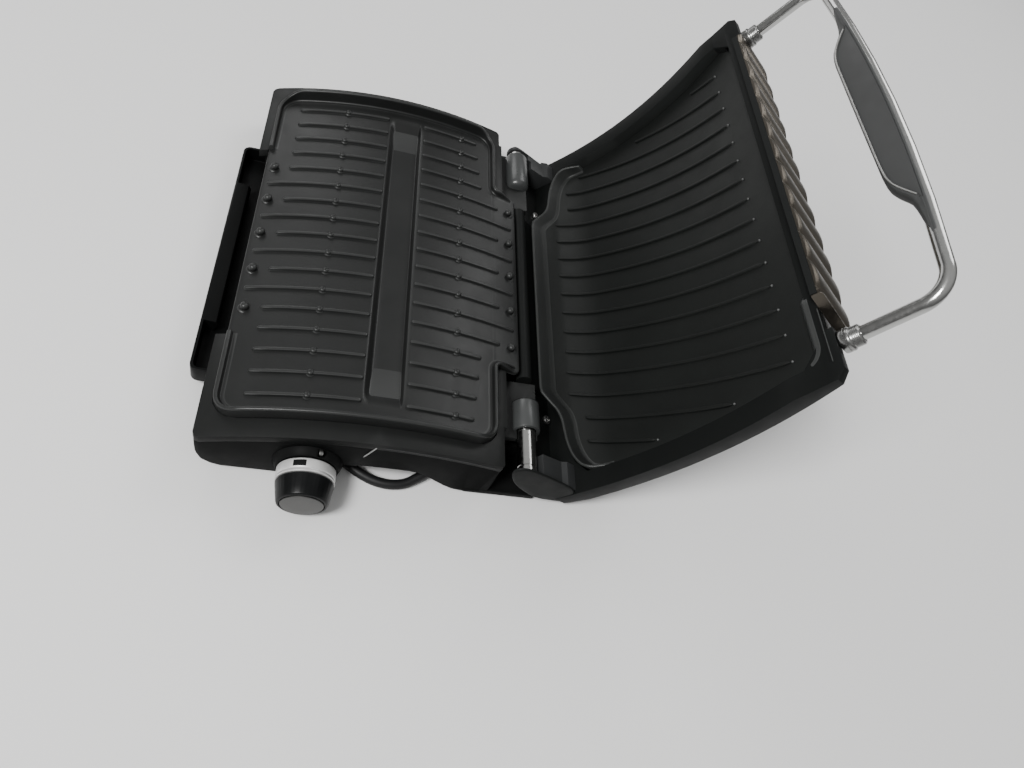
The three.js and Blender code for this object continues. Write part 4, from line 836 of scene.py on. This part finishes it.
CREST = [(44, 4.0), (50, -0.4), (59, -5.6), (67, -8.2), (72.6, -10.4), (76, -15.5), (79, -20.6), (80.4, -23.0), (83, -23.4)]
half = chaikin([(UHX, 46.0), (UHX, 60.0), (134.0, 68.0), (118.0, 72.5), (99.0, 73.5), (88.0, 78.4), (80.0, 81.5), (70, 81.5), (55, 81.5), (35, 81.5), (0.0, 81.5)], 3)
path = half + [(-x, y) for x, y in half[-2::-1]]
keep = [path[0]]
for p in path[1:]:
    if sqrt((p[0] - keep[-1][0]) ** 2 + (p[1] - keep[-1][1]) ** 2) > 0.7:
        keep.append(p)
path = keep
nrm = outward(path)
rows = []
for (x, y), (nx, ny) in zip(path, nrm):
    zc = interp(CREST, y)
    def fs(i, y=y, ny=ny):
        return up_surf(y - ny * i)
    tall = fs(4.0) - zc
    k = min(1.0, max(0.05, tall / 7.5))
    sec = [(0.0, up_back(min(y, 80))), (0.0, zc + 1.4 * k), (0.15, zc + 0.7 * k), (0.55, zc + 0.15 * k), (1.05, zc), (1.55, zc + 0.12 * k), (1.95, zc + 0.6 * k), (2.2, zc + 1.4 * k),
           (3.5, fs(3.5) - 1.3 * k), (3.85, fs(3.85) - 0.6 * k), (4.5, fs(4.5) - 0.18), (5.6, fs(5.6) - 0.02), (5.8, fs(5.8) + 0.8)]
    rows.append([(x - nx * i, y - ny * i, z) for i, z in sec])
rimm = Mesh()
rimm.rows(rows, close_row=True, cap0=True, cap1=True)
# the rim carries the lighter coating: painted light on its shaded faces
build("upper_plate_rim", rimm, "lid", M_UPPER_RIM_LIT, xf=L, angle=42)

Q, SL = 18.3, -0.323
for k in range(-1, 16):
    x0 = -26 + (k - 6) * Q
    ya, yb = -84.8, 71.0
    if x0 + SL * ya > 134:
        ya = (134 - x0) / SL
    if x0 + SL * yb < -134:
        yb = (-134 - x0) / SL
    while abs(x0 + SL * yb) > 92 and yb > 62:
        yb -= 1
    rib(up, (lambda t, ya=ya, yb=yb, x0=x0: (x0 + SL * (yb + (ya - yb) * t), yb + (ya - yb) * t, up_surf(yb + (ya - yb) * t))), 2.2, 1.5, sign=-1.0,
        tip=1.8, tip_end=6.0, n=14)
# small light domes at the front ends of the upper ribs: painted glints
tips = Mesh()
for k in range(-1, 16):
    x0 = -26 + (k - 6) * Q
    ya = -84.8
    if x0 + SL * ya > 134:
        ya = (134 - x0) / SL
    y = ya - 1.6
    tips.revolve([(0.75, 0.5), (0.75, -0.6), (0.5, -1.0), (0.15, -1.1)], (x0 + SL * y, y, up_surf(y)), 'z', 12)
build("upper_rib_tips", tips, "lid", M_TIP_GLINT, xf=L, angle=60)
UPPER = build("upper_grill_casting", up, "lid", M_UP, xf=L, nodes=("upper_plate",), angle=42)

FR = softened("lid_frame", "lid_inner_frame", "lid", M_LIDF, 0.7, 3, 30)
# inner side wall of the lid frame on the far side gets the lighter plastic: painted light where it lies in shade
FR.data.materials.append(M_FRAME_WALL_LIT)
for q in FR.data.polygons:
    if -0.1595 < q.center.x - TX * 0.001 < -0.1325 and q.normal.x > 0.6 and q.center.y > -0.02:
        q.material_index = 1
softened("lid_arm_right", "lid_arm_right_moulding", "lid", M_ARM, 0.9, 3, 30)
softened("lid_arm_left", "lid_arm_left_moulding", "lid", M_ARM, 0.9, 3, 30)
PYL, PZL = 80.67, -39.08
for side, out, nm in ((1, 155.6, "right"), (-1, 151.6, "left")):
    m = Mesh()
    e = out - 3.7
    st = 115.3 if side > 0 else 136.6
    prof = [(0.3, st), (6.0, st), (6.4, st + 0.5), (6.4, e - 5.0), (5.9, e - 4.7), (5.9, e - 3.9), (6.4, e - 3.6), (6.4, e - 0.5), (6.0, e), (3.0, e), (3.0, out - 1.9), (2.7, out - 1.6), (0.3, out - 1.6)]
    m.revolve([(r, side * h) for r, h in prof], (0, PYL, PZL), 'x', 48)
    build("hinge_pin_%s_turned" % nm, m, "lid", M_CHROME, xf=L, nodes=("hinge_pin_" + nm,), angle=30)
    cross_screw("lid_screw_%s_head" % nm, (0, 0, 0), 3.1, 2.0, "lid", (lambda x, y, z, s=side: L(s * 99 + x, 83.3 - z, -13 + y)), 1, "lid_screw_" + nm, M_SCREW)

# outer cheek of the right arm, which closes the corner of the lid
CHK = [(80.4, -54.0), (73.9, -57.6), (69.0, -54.6), (66.2, -48.0), (66.0, -21.3), (67.6, -7.4), (81.3, 2.6), (86.1, -5.9), (89.0, -12.5), (92.3, -20.1), (90.6, -32.5), (87.0, -44.9)]


def closed_smooth(pts, n=3):
    for _ in range(n):
        out = []
        for a, b in zip(pts, pts[1:] + pts[:1]):
            out.append((a[0] * 0.75 + b[0] * 0.25, a[1] * 0.75 + b[1] * 0.25))
            out.append((a[0] * 0.25 + b[0] * 0.75, a[1] * 0.25 + b[1] * 0.75))
        pts = out
    return pts


chk = closed_smooth(CHK)
ccy, ccz = sum(p[0] for p in chk) / len(chk), sum(p[1] for p in chk) / len(chk)
m = Mesh()
rows = []
for x, k in ((156.4, 0.97), (156.4, 1.0), (156.9, 1.0), (157.35, 0.99), (157.65, 0.965), (157.8, 0.92), (157.84, 0.6), (157.85, 0.2)):
    rows.append([(x, ccy + (y - ccy) * k, ccz + (z - ccz) * k) for y, z in chk])
m.rows(rows, close_row=True, cap0=True, cap1=True)
build("lid_corner_cheek", m, "lid", M_LIDF, xf=L, angle=40)


# rounded lip in the near front corner of the upper plate, with the seam line beyond it; both in a lighter copy of the
# coating: painted light
def low_edge(y):
    return 2.35 + arch(y) + max(0.0, -84 - y) * 0.22


lp = [(float(x), -104.0, 0.0, -1.0) for x in (97, 99, 101, 103, 106, 110, 115, 120, 125, 130)]
for k in range(0, 11):
    a = radians(-90 + 9 * k)
    lp.append((133.4 + 10 * cos(a), -94 + 10 * sin(a), cos(a), sin(a)))
lp += [(143.4, y, 1.0, 0.0) for y in (-92.5, -91.0, -89.5, -88.0)]
rows = []
for j, (x, y, nx, ny) in enumerate(lp):
    k = sm(0, 3.0, j) * sm(0, 7.0, len(lp) - 1 - j)
    sec = []
    for i, w in ((-3.0, -0.6), (-3.0, 0.02), (-2.7, 1.6), (-2.3, 2.9), (-1.7, 3.6), (-0.9, 3.95), (0.2, 4.12), (1.3, 4.15), (2.2, 4.05), (2.8, 3.7), (3.0, 3.2), (3.0, -0.6)):
        i *= 0.35 + 0.65 * k
        px, py = x + nx * i, y + ny * i
        s0 = up_surf(py)
        full = s0 - low_edge(py) + 0.15
        z = s0 - (w if w < 0 else w / 4.15 * full * k)
        sec.append((px, py, z))
    rows.append(sec)
m = Mesh()
m.rows(rows, close_row=True, cap0=True, cap1=True)
build("upper_plate_lip", m, "lid", M_LIP_LIT, xf=L, angle=50)
m = Mesh()
yc = -110.2
m.rows([[(x, yc + 0.32 * r * cos(2 * pi * j / 10), low_edge(yc) - 0.02 + 0.25 * r * sin(2 * pi * j / 10)) for j in range(10)]
        for x, r in ((112, 0.4), (113, 1.0), (120, 1.0), (130, 1.0), (140, 1.0), (146, 1.0), (147, 0.4))], close_row=True, cap0=True, cap1=True)
build("lid_seam_line", m, "lid", M_LIP_LIT, xf=L, angle=60)
# a thin flat dark strip in the tub plastic along the seam: a painted shadow of the gap
m = Mesh()
m.rows([[(x, -108.2, low_edge(-108.2) + 0.3), (x, -108.2, low_edge(-108.2) - 0.05), (x, -109.6, low_edge(-109.6) - 0.05), (x, -109.6, low_edge(-109.6) + 0.3)]
        for x in (112, 122, 132, 140, 146.5)], close_row=True, cap0=True, cap1=True)
build("lid_seam_shadow_strip", m, "lid", M_TUB, xf=L, angle=40)

# ---- lid cover: smooth crowned shell
COVER = [(-108.4, 16.2), (-104, 25.5), (-97, 32.5), (-86, 37.5), (-72, 39.6), (-57, 40.8), (-42, 41.6), (-27, 42), (-12, 42.1), (3, 42), (18, 41.6),
         (33, 40.6), (47, 38.8), (58, 36), (66, 31.5), (72, 25), (78, 16), (83, 7.6)]


def cover_base(y):
    return 15.35 + arch(y) - ((y - 72) * 0.28 if y > 72 else 0.0)


cov = Mesh()
rows = []
crown = catmull([(0, y, h) for y, h in COVER], 4)
for i, p in enumerate(crown):
    y, h = p.y, p.z
    zb = cover_base(y) + 0.02
    top, w = h, 150.0
    d = max(0.6, min(20.0, (top - zb - 1.5) * 0.8))
    e = max(1.0, d * 0.75)
    hp = [(w, zb), (w + 0.15, zb + 0.8), (w, zb + 1.4), (w - d * 0.5, zb + 1.2 + d * 0.55), (w - d, zb + 1.2 + d), (w - d - e, max(zb + 1.2 + d, top - 1.6) + 0.05),
          (w - d - e - 34, max(zb + 1.2 + d, top - 0.4) + 0.1), (60, max(zb + 1.3 + d, top + 0.9) + 0.15), (0, max(zb + 1.3 + d, top + 1.2) + 0.15)]
    hp = [hp[0], hp[1], hp[2]] + chaikin(hp[2:], 2)[1:]
    ring = hp + [(-x, z) for x, z in hp[-2::-1]]
    rows.append([(x, y, z) for x, z in ring])
cov.rows(rows, close_row=True, cap0=True, cap1=True)
build("lid_cover_shell", cov, "lid", M_COVER, xf=L, nodes=("lid_cover",), angle=35)

# ---- fascia: leaning half-round flutes between flat ends
LF = -115.0
FZ0, FZ1, FW = -18.6, 15.6, 126.6
LEAN, PITCH = 0.54, 1.27 * 16
fas = Mesh()
xs = lin(-FW, FW, 330)
zs_ = [FZ0, FZ0 + 0.3, FZ0 + 0.9, FZ0 + 1.8, FZ0 + 3.2] + lin(FZ0 + 5, FZ1 - 6, 9) + [FZ1 - 4, FZ1 - 2.4, FZ1 - 1.3, FZ1 - 0.6, FZ1 - 0.15]


def flute(x, z):
    s = x - LEAN * (z + 2)
    k = round(s / PITCH)
    if abs(k) > 6:
        k = 6 if k > 0 else -6
    u = (s - k * PITCH) / 10.4
    lobe = 3.3 * sqrt(max(0.0, 1 - u * u)) if abs(u) < 1 else 0.0
    cap = 1.15
    if s > 5.6 * PITCH:
        return 3.1 * sm(5.6 * PITCH, 5.72 * PITCH, s)
    if abs(s) > 6 * PITCH + 9.8:
        return cap
    if abs(k) == 6 and abs(u) >= 1 and abs(s) > 6 * PITCH:
        return cap
    return lobe


rows = []
for z in zs_:
    e0 = max(0.62, min(1.0, sqrt(max(0.0, 1 - (1 - min(1.0, (z - FZ0) / 2.4)) ** 2))))
    e1 = min(1.0, sqrt(max(0.0, 1 - (1 - min(1.0, (FZ1 - z) / 3.4)) ** 2)))
    e = max(0.0, min(e0, e1))
    front, back = [], []
    for x in xs:
        r = 12.0
        zz = z
        x = min(x, 117.1 + LEAN * (z + 2))
        if abs(x) > FW - r:
            q = abs(x) - (FW - r)
            lim = FZ1 - r + sqrt(max(0.0, r * r - q * q))
            zz = FZ0 + (z - FZ0) * (lim - FZ0) / (FZ1 - FZ0)
        d = flute(x, zz) * e
        front.append((x, LF + 0.95 - d - 0.25 * e, zz))
    for x in (min(FW, 117.1 + LEAN * (z + 2)), 0, -FW):
        zz = z
        if abs(x) > FW - 1:
            zz = FZ0 + (z - FZ0) * (FZ1 - 12 - FZ0) / (FZ1 - FZ0)
        back.append((x, LF + 3.9, zz))
    rows.append(front + back)
fas.rows(rows, close_row=True, cap0=True, cap1=True)
FAS = build("lid_fascia_fluted", fas, "lid", M_FASCIA, xf=L, nodes=("lid_fascia",), angle=50)
# the mounting flange along the lid edge, in the black of the lid
m = Mesh()
m.rows([[(x, LF + 0.2, FZ0 - 0.45), (x, LF + 0.2, FZ0 - 0.05), (x, LF + 4.0, FZ0 - 0.05), (x, LF + 4.0, FZ0 - 0.45)] for x in lin(-FW, 107.6, 40)], close_row=True, cap0=True, cap1=True)
build("fascia_edge_strip", m, "lid", M_LIDF, xf=L, angle=30)

# ---- handle tube, collars
HX, HYC, ZH = 134.2, -180.0, -6.4


def bow(x):
    return HYC + 0.00045 * x * x


def fillet_path(points, r, n=6):
    v = [Vector(p) for p in points]
    out = [v[0].copy()]
    for i in range(1, len(v) - 1):
        a, b = (v[i - 1] - v[i]).normalized(), (v[i + 1] - v[i]).normalized()
        half_a = math.acos(max(-1, min(1, a.dot(b)))) / 2
        t = r / math.tan(half_a)
        c = v[i] + (a + b).normalized() * (r / sin(half_a))
        p0, p1 = v[i] + a * t - c, v[i] + b * t - c
        ang = p0.angle(p1)
        nn = max(2, int(n * ang / 1.5 + 1))
        for k in range(nn + 1):
            s = k / nn
            out.append(c + (p0 * sin((1 - s) * ang) + p1 * sin(s * ang)) / sin(ang))
    out.append(v[-1].copy())
    return out


hp = fillet_path([(-HX, -111.4, -5), (-HX, bow(125) + 0.6, ZH), (-76, bow(76), ZH), (-38, bow(38), ZH), (0, HYC, ZH), (38, bow(38), ZH), (76, bow(76), ZH),
                  (HX, bow(125) + 0.6, ZH), (HX, -111.4, -5)], 17, 18)
tub_m = Mesh()
rows = []
for i, p in enumerate(hp):
    a, b = hp[max(0, i - 1)], hp[min(len(hp) - 1, i + 1)]
    t = (b - a).normalized()
    n1 = t.cross(Vector((0, 0, 1))).normalized()
    n2 = t.cross(n1).normalized()
    rows.append([tuple(p + (n1 * cos(2 * pi * k / 28) + n2 * sin(2 * pi * k / 28)) * 4.0) for k in range(28)])
tub_m.rows(rows, close_row=True, cap0=True, cap1=True)
build("handle_tube_bent", tub_m, "lid", M_CHROME, xf=L, nodes=("handle_tube",), angle=50)
for side, nm in ((1, "right"), (-1, "left")):
    m = Mesh()
    prof = [(4.25, -11.5), (5.0, -11.5), (5.4, -11.1)]
    h = -11.0
    while h < -6.6:
        prof += [(5.75, h + 0.15), (5.9, h + 0.35), (5.9, h + 0.6), (5.6, h + 0.8)]
        h += 0.9
    prof += [(5.7, -6.2), (6.5, -5.7), (6.7, -5.3), (6.7, -4.4), (6.3, -4.1), (6.3, -3.7), (6.7, -3.4), (6.7, -1.2), (6.4, -0.5), (5.9, -0.3), (4.25, -0.3)]
    turn_ring(m, prof, (side * HX, LF, -5.1), 'y', 48)
    build("handle_collar_%s_turned" % nm, m, "lid", M_SILVER, xf=L, nodes=("handle_collar_" + nm,), angle=40)

# ---- grip: two moulded halves clamped on the inner side of the tube
GRIP = [(0, -162.2, 7.0), (25, -162.2, 7.0), (50, -162.3, 6.8), (56, -162.7, 6.7), (60, -163.4, 6.6), (64, -165.0, 6.5), (67.5, -166.9, 6.4), (71, -169.0, 6.2), (74, -170.4, 6.0), (79, -171.4, 5.7),
        (84, -171.9, 5.9), (90, -172.4, 5.8), (94, -172.9, 5.7), (96.5, -174.0, 5.5), (98, -175.6, 5.2), (98.8, -177.4, 4.9)]
PANEL = [(0, -164.6), (48, -164.8), (54, -165.4), (60, -167.4), (66, -170.8), (71, -173.6), (75, -175.4)]


def gyi(x):
    return interp([(a, b) for a, b, c in GRIP], abs(x))


def gh(x):
    return interp([(a, c) for a, b, c in GRIP], abs(x))


gx = [-98.8, -98, -96.5, -94, -90, -84, -79, -76.6, -75.6, -74, -71, -67.5, -64, -60, -56, -50, -40, -25, -12]
gx = gx + [0] + [-x for x in gx[::-1]]
for half_s, nm in ((1, "upper"), (-1, "lower")):
    m = Mesh()
    rows = []
    for x in gx:
        yi, h = gyi(x), gh(x)
        yo = bow(x) - 1.2
        w = yi - yo
        pm = 1.0 if abs(x) < 75.8 else 0.0
        pa, pb = yo + 1.3, min(interp(PANEL, abs(x)), yi - 1.6)
        if pb < pa + 1.4:
            pb = pa + 1.4
            pm *= 0.4
        rd = 0.75 * pm
        kk = min(1.0, w / 12.0)
        sec = [(yo, 0.15), (yo, 0.74 * h), (yo + 0.35, 0.83 * h), (pa - 0.35, 0.87 * h), (pa, 0.86 * h), (pa + 0.45, 0.88 * h - rd), (pa + (pb - pa) * 0.5, 0.93 * h - rd), (pb - 0.45, 0.90 * h - rd),
               (pb, 0.91 * h), (pb + (yi - pb) * 0.35, 0.86 * h), (pb + (yi - pb) * 0.7, 0.66 * h), (pb + (yi - pb) * 0.92, 0.38 * h), (yi, 0.15)]
        sec = [(y, 0.15 + (z - 0.15) * (1.0 if kk > 0.6 else 0.9)) for y, z in sec]
        rows.append([(x, y, ZH + half_s * z) for y, z in sec])
    m.rows(rows, close_row=True, cap0=True, cap1=True)
    build("grip_half_" + nm, m, "lid", M_GRIP, xf=L, nodes=("grip_" + nm,), angle=32)

# bright bead along the edge of the panel, on the side of the plates: a painted highlight of the panel's edge step
bead = [(-73.5, -174.9), (-71, -173.2), (-66, -169.9), (-60, -166.6), (-54, -164.9), (-48, -164.3), (-24, -164.15), (0, -164.1)]
bead = catmull([(x, y, 0) for x, y in bead + [(-x, y) for x, y in bead[-2::-1]]], 3)
for half_s, nm in ((1, "upper"), (-1, "lower")):
    m = Mesh()
    rows = []
    for i, p in enumerate(bead):
        a, b = bead[max(0, i - 1)], bead[min(len(bead) - 1, i + 1)]
        t = (b - a).normalized()
        n1 = Vector((t.y, -t.x, 0))
        hh = 0.15 + (gh(p.x) - 0.15) * 0.885
        rows.append([(p.x + n1.x * 0.55 * cos(2 * pi * k / 10), p.y + n1.y * 0.55 * cos(2 * pi * k / 10), ZH + half_s * (hh + 0.55 * sin(2 * pi * k / 10))) for k in range(10)])
    m.rows(rows, close_row=True, cap0=True, cap1=True)
    build("grip_bead_" + nm, m, "lid", M_BEAD_HIGHLIGHT, xf=L, angle=60)

# ------------------------------------------- finishes of the inner pieces
for n, mat in (("lower_reflector", M_TIN), ("upper_reflector", M_TIN), ("lower_element", M_ELEMENT), ("upper_element", M_ELEMENT), ("thermostat_body", M_CERAMIC),
               ("terminal_block", M_CERAMIC), ("thermal_fuse", M_CERAMIC), ("thermostat_shaft", M_BRASS)):
    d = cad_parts[n].data
    d.materials.clear()
    d.materials.append(mat)

# ---------------------------------------------------------- floor and light
def floor_material():
    m = Nodes("floor_paper")
    m.link(m.mix(m.noise(3.0, 3.0, 0.5), (0.80, 0.80, 0.80), (0.83, 0.83, 0.83)), m.p.inputs['Base Color'])
    m.set(Roughness=0.85, Specular_IOR_Level=0.2)
    return m.mat


me = bpy.data.meshes.new("floor")
me.from_pydata([(-4, -4, -0.0006), (4, -4, -0.0006), (4, 4, -0.0006), (-4, 4, -0.0006)], [], [(0, 1, 2, 3)])
me.materials.append(floor_material())
floor = bpy.data.objects.new("floor", me)
bpy.context.scene.collection.objects.link(floor)

world = bpy.data.worlds.new("studio")
bpy.context.scene.world = world
world.use_nodes = True
bg = world.node_tree.nodes["Background"]
wt = world.node_tree
wc = wt.nodes.new('ShaderNodeTexCoord')
ws = wt.nodes.new('ShaderNodeSeparateXYZ')
wt.links.new(wc.outputs['Generated'], ws.inputs[0])
wr = wt.nodes.new('ShaderNodeMapRange')
wr.interpolation_type = 'SMOOTHSTEP'
wr.inputs['From Min'].default_value = 0.05
wr.inputs['From Max'].default_value = 0.85
wr.inputs['To Min'].default_value = 0.16
wr.inputs['To Max'].default_value = 0.55
wt.links.new(ws.outputs[2], wr.inputs['Value'])
wt.links.new(wr.outputs[0], bg.inputs[1])
bg.inputs[0].default_value = (1.0, 1.0, 0.99, 1)


def area(name, loc, target, size, power, col=(1, 1, 1), size_y=None):
    ld = bpy.data.lights.new(name, 'AREA')
    ld.energy = power
    ld.size = size
    if size_y:
        ld.shape = 'RECTANGLE'
        ld.size_y = size_y
    ld.color = col
    ob = bpy.data.objects.new(name, ld)
    bpy.context.scene.collection.objects.link(ob)
    ob.location = loc
    d = Vector(target) - Vector(loc)
    ob.rotation_euler = d.to_track_quat('-Z', 'Y').to_euler()
    return ob


area("key", (0.80, -0.95, 1.55), (0, -0.02, 0.05), 0.5, 42, (1, 0.995, 0.985))
area("sheen", (-0.85, 0.85, 1.15), (0, 0.02, 0.05), 0.8, 7.5, (1, 1, 1))
area("left", (-1.5, -0.7, 0.9), (0, -0.05, 0.05), 0.8, 5, (1, 1, 1))

# ------------------------------------------------------------------ finish
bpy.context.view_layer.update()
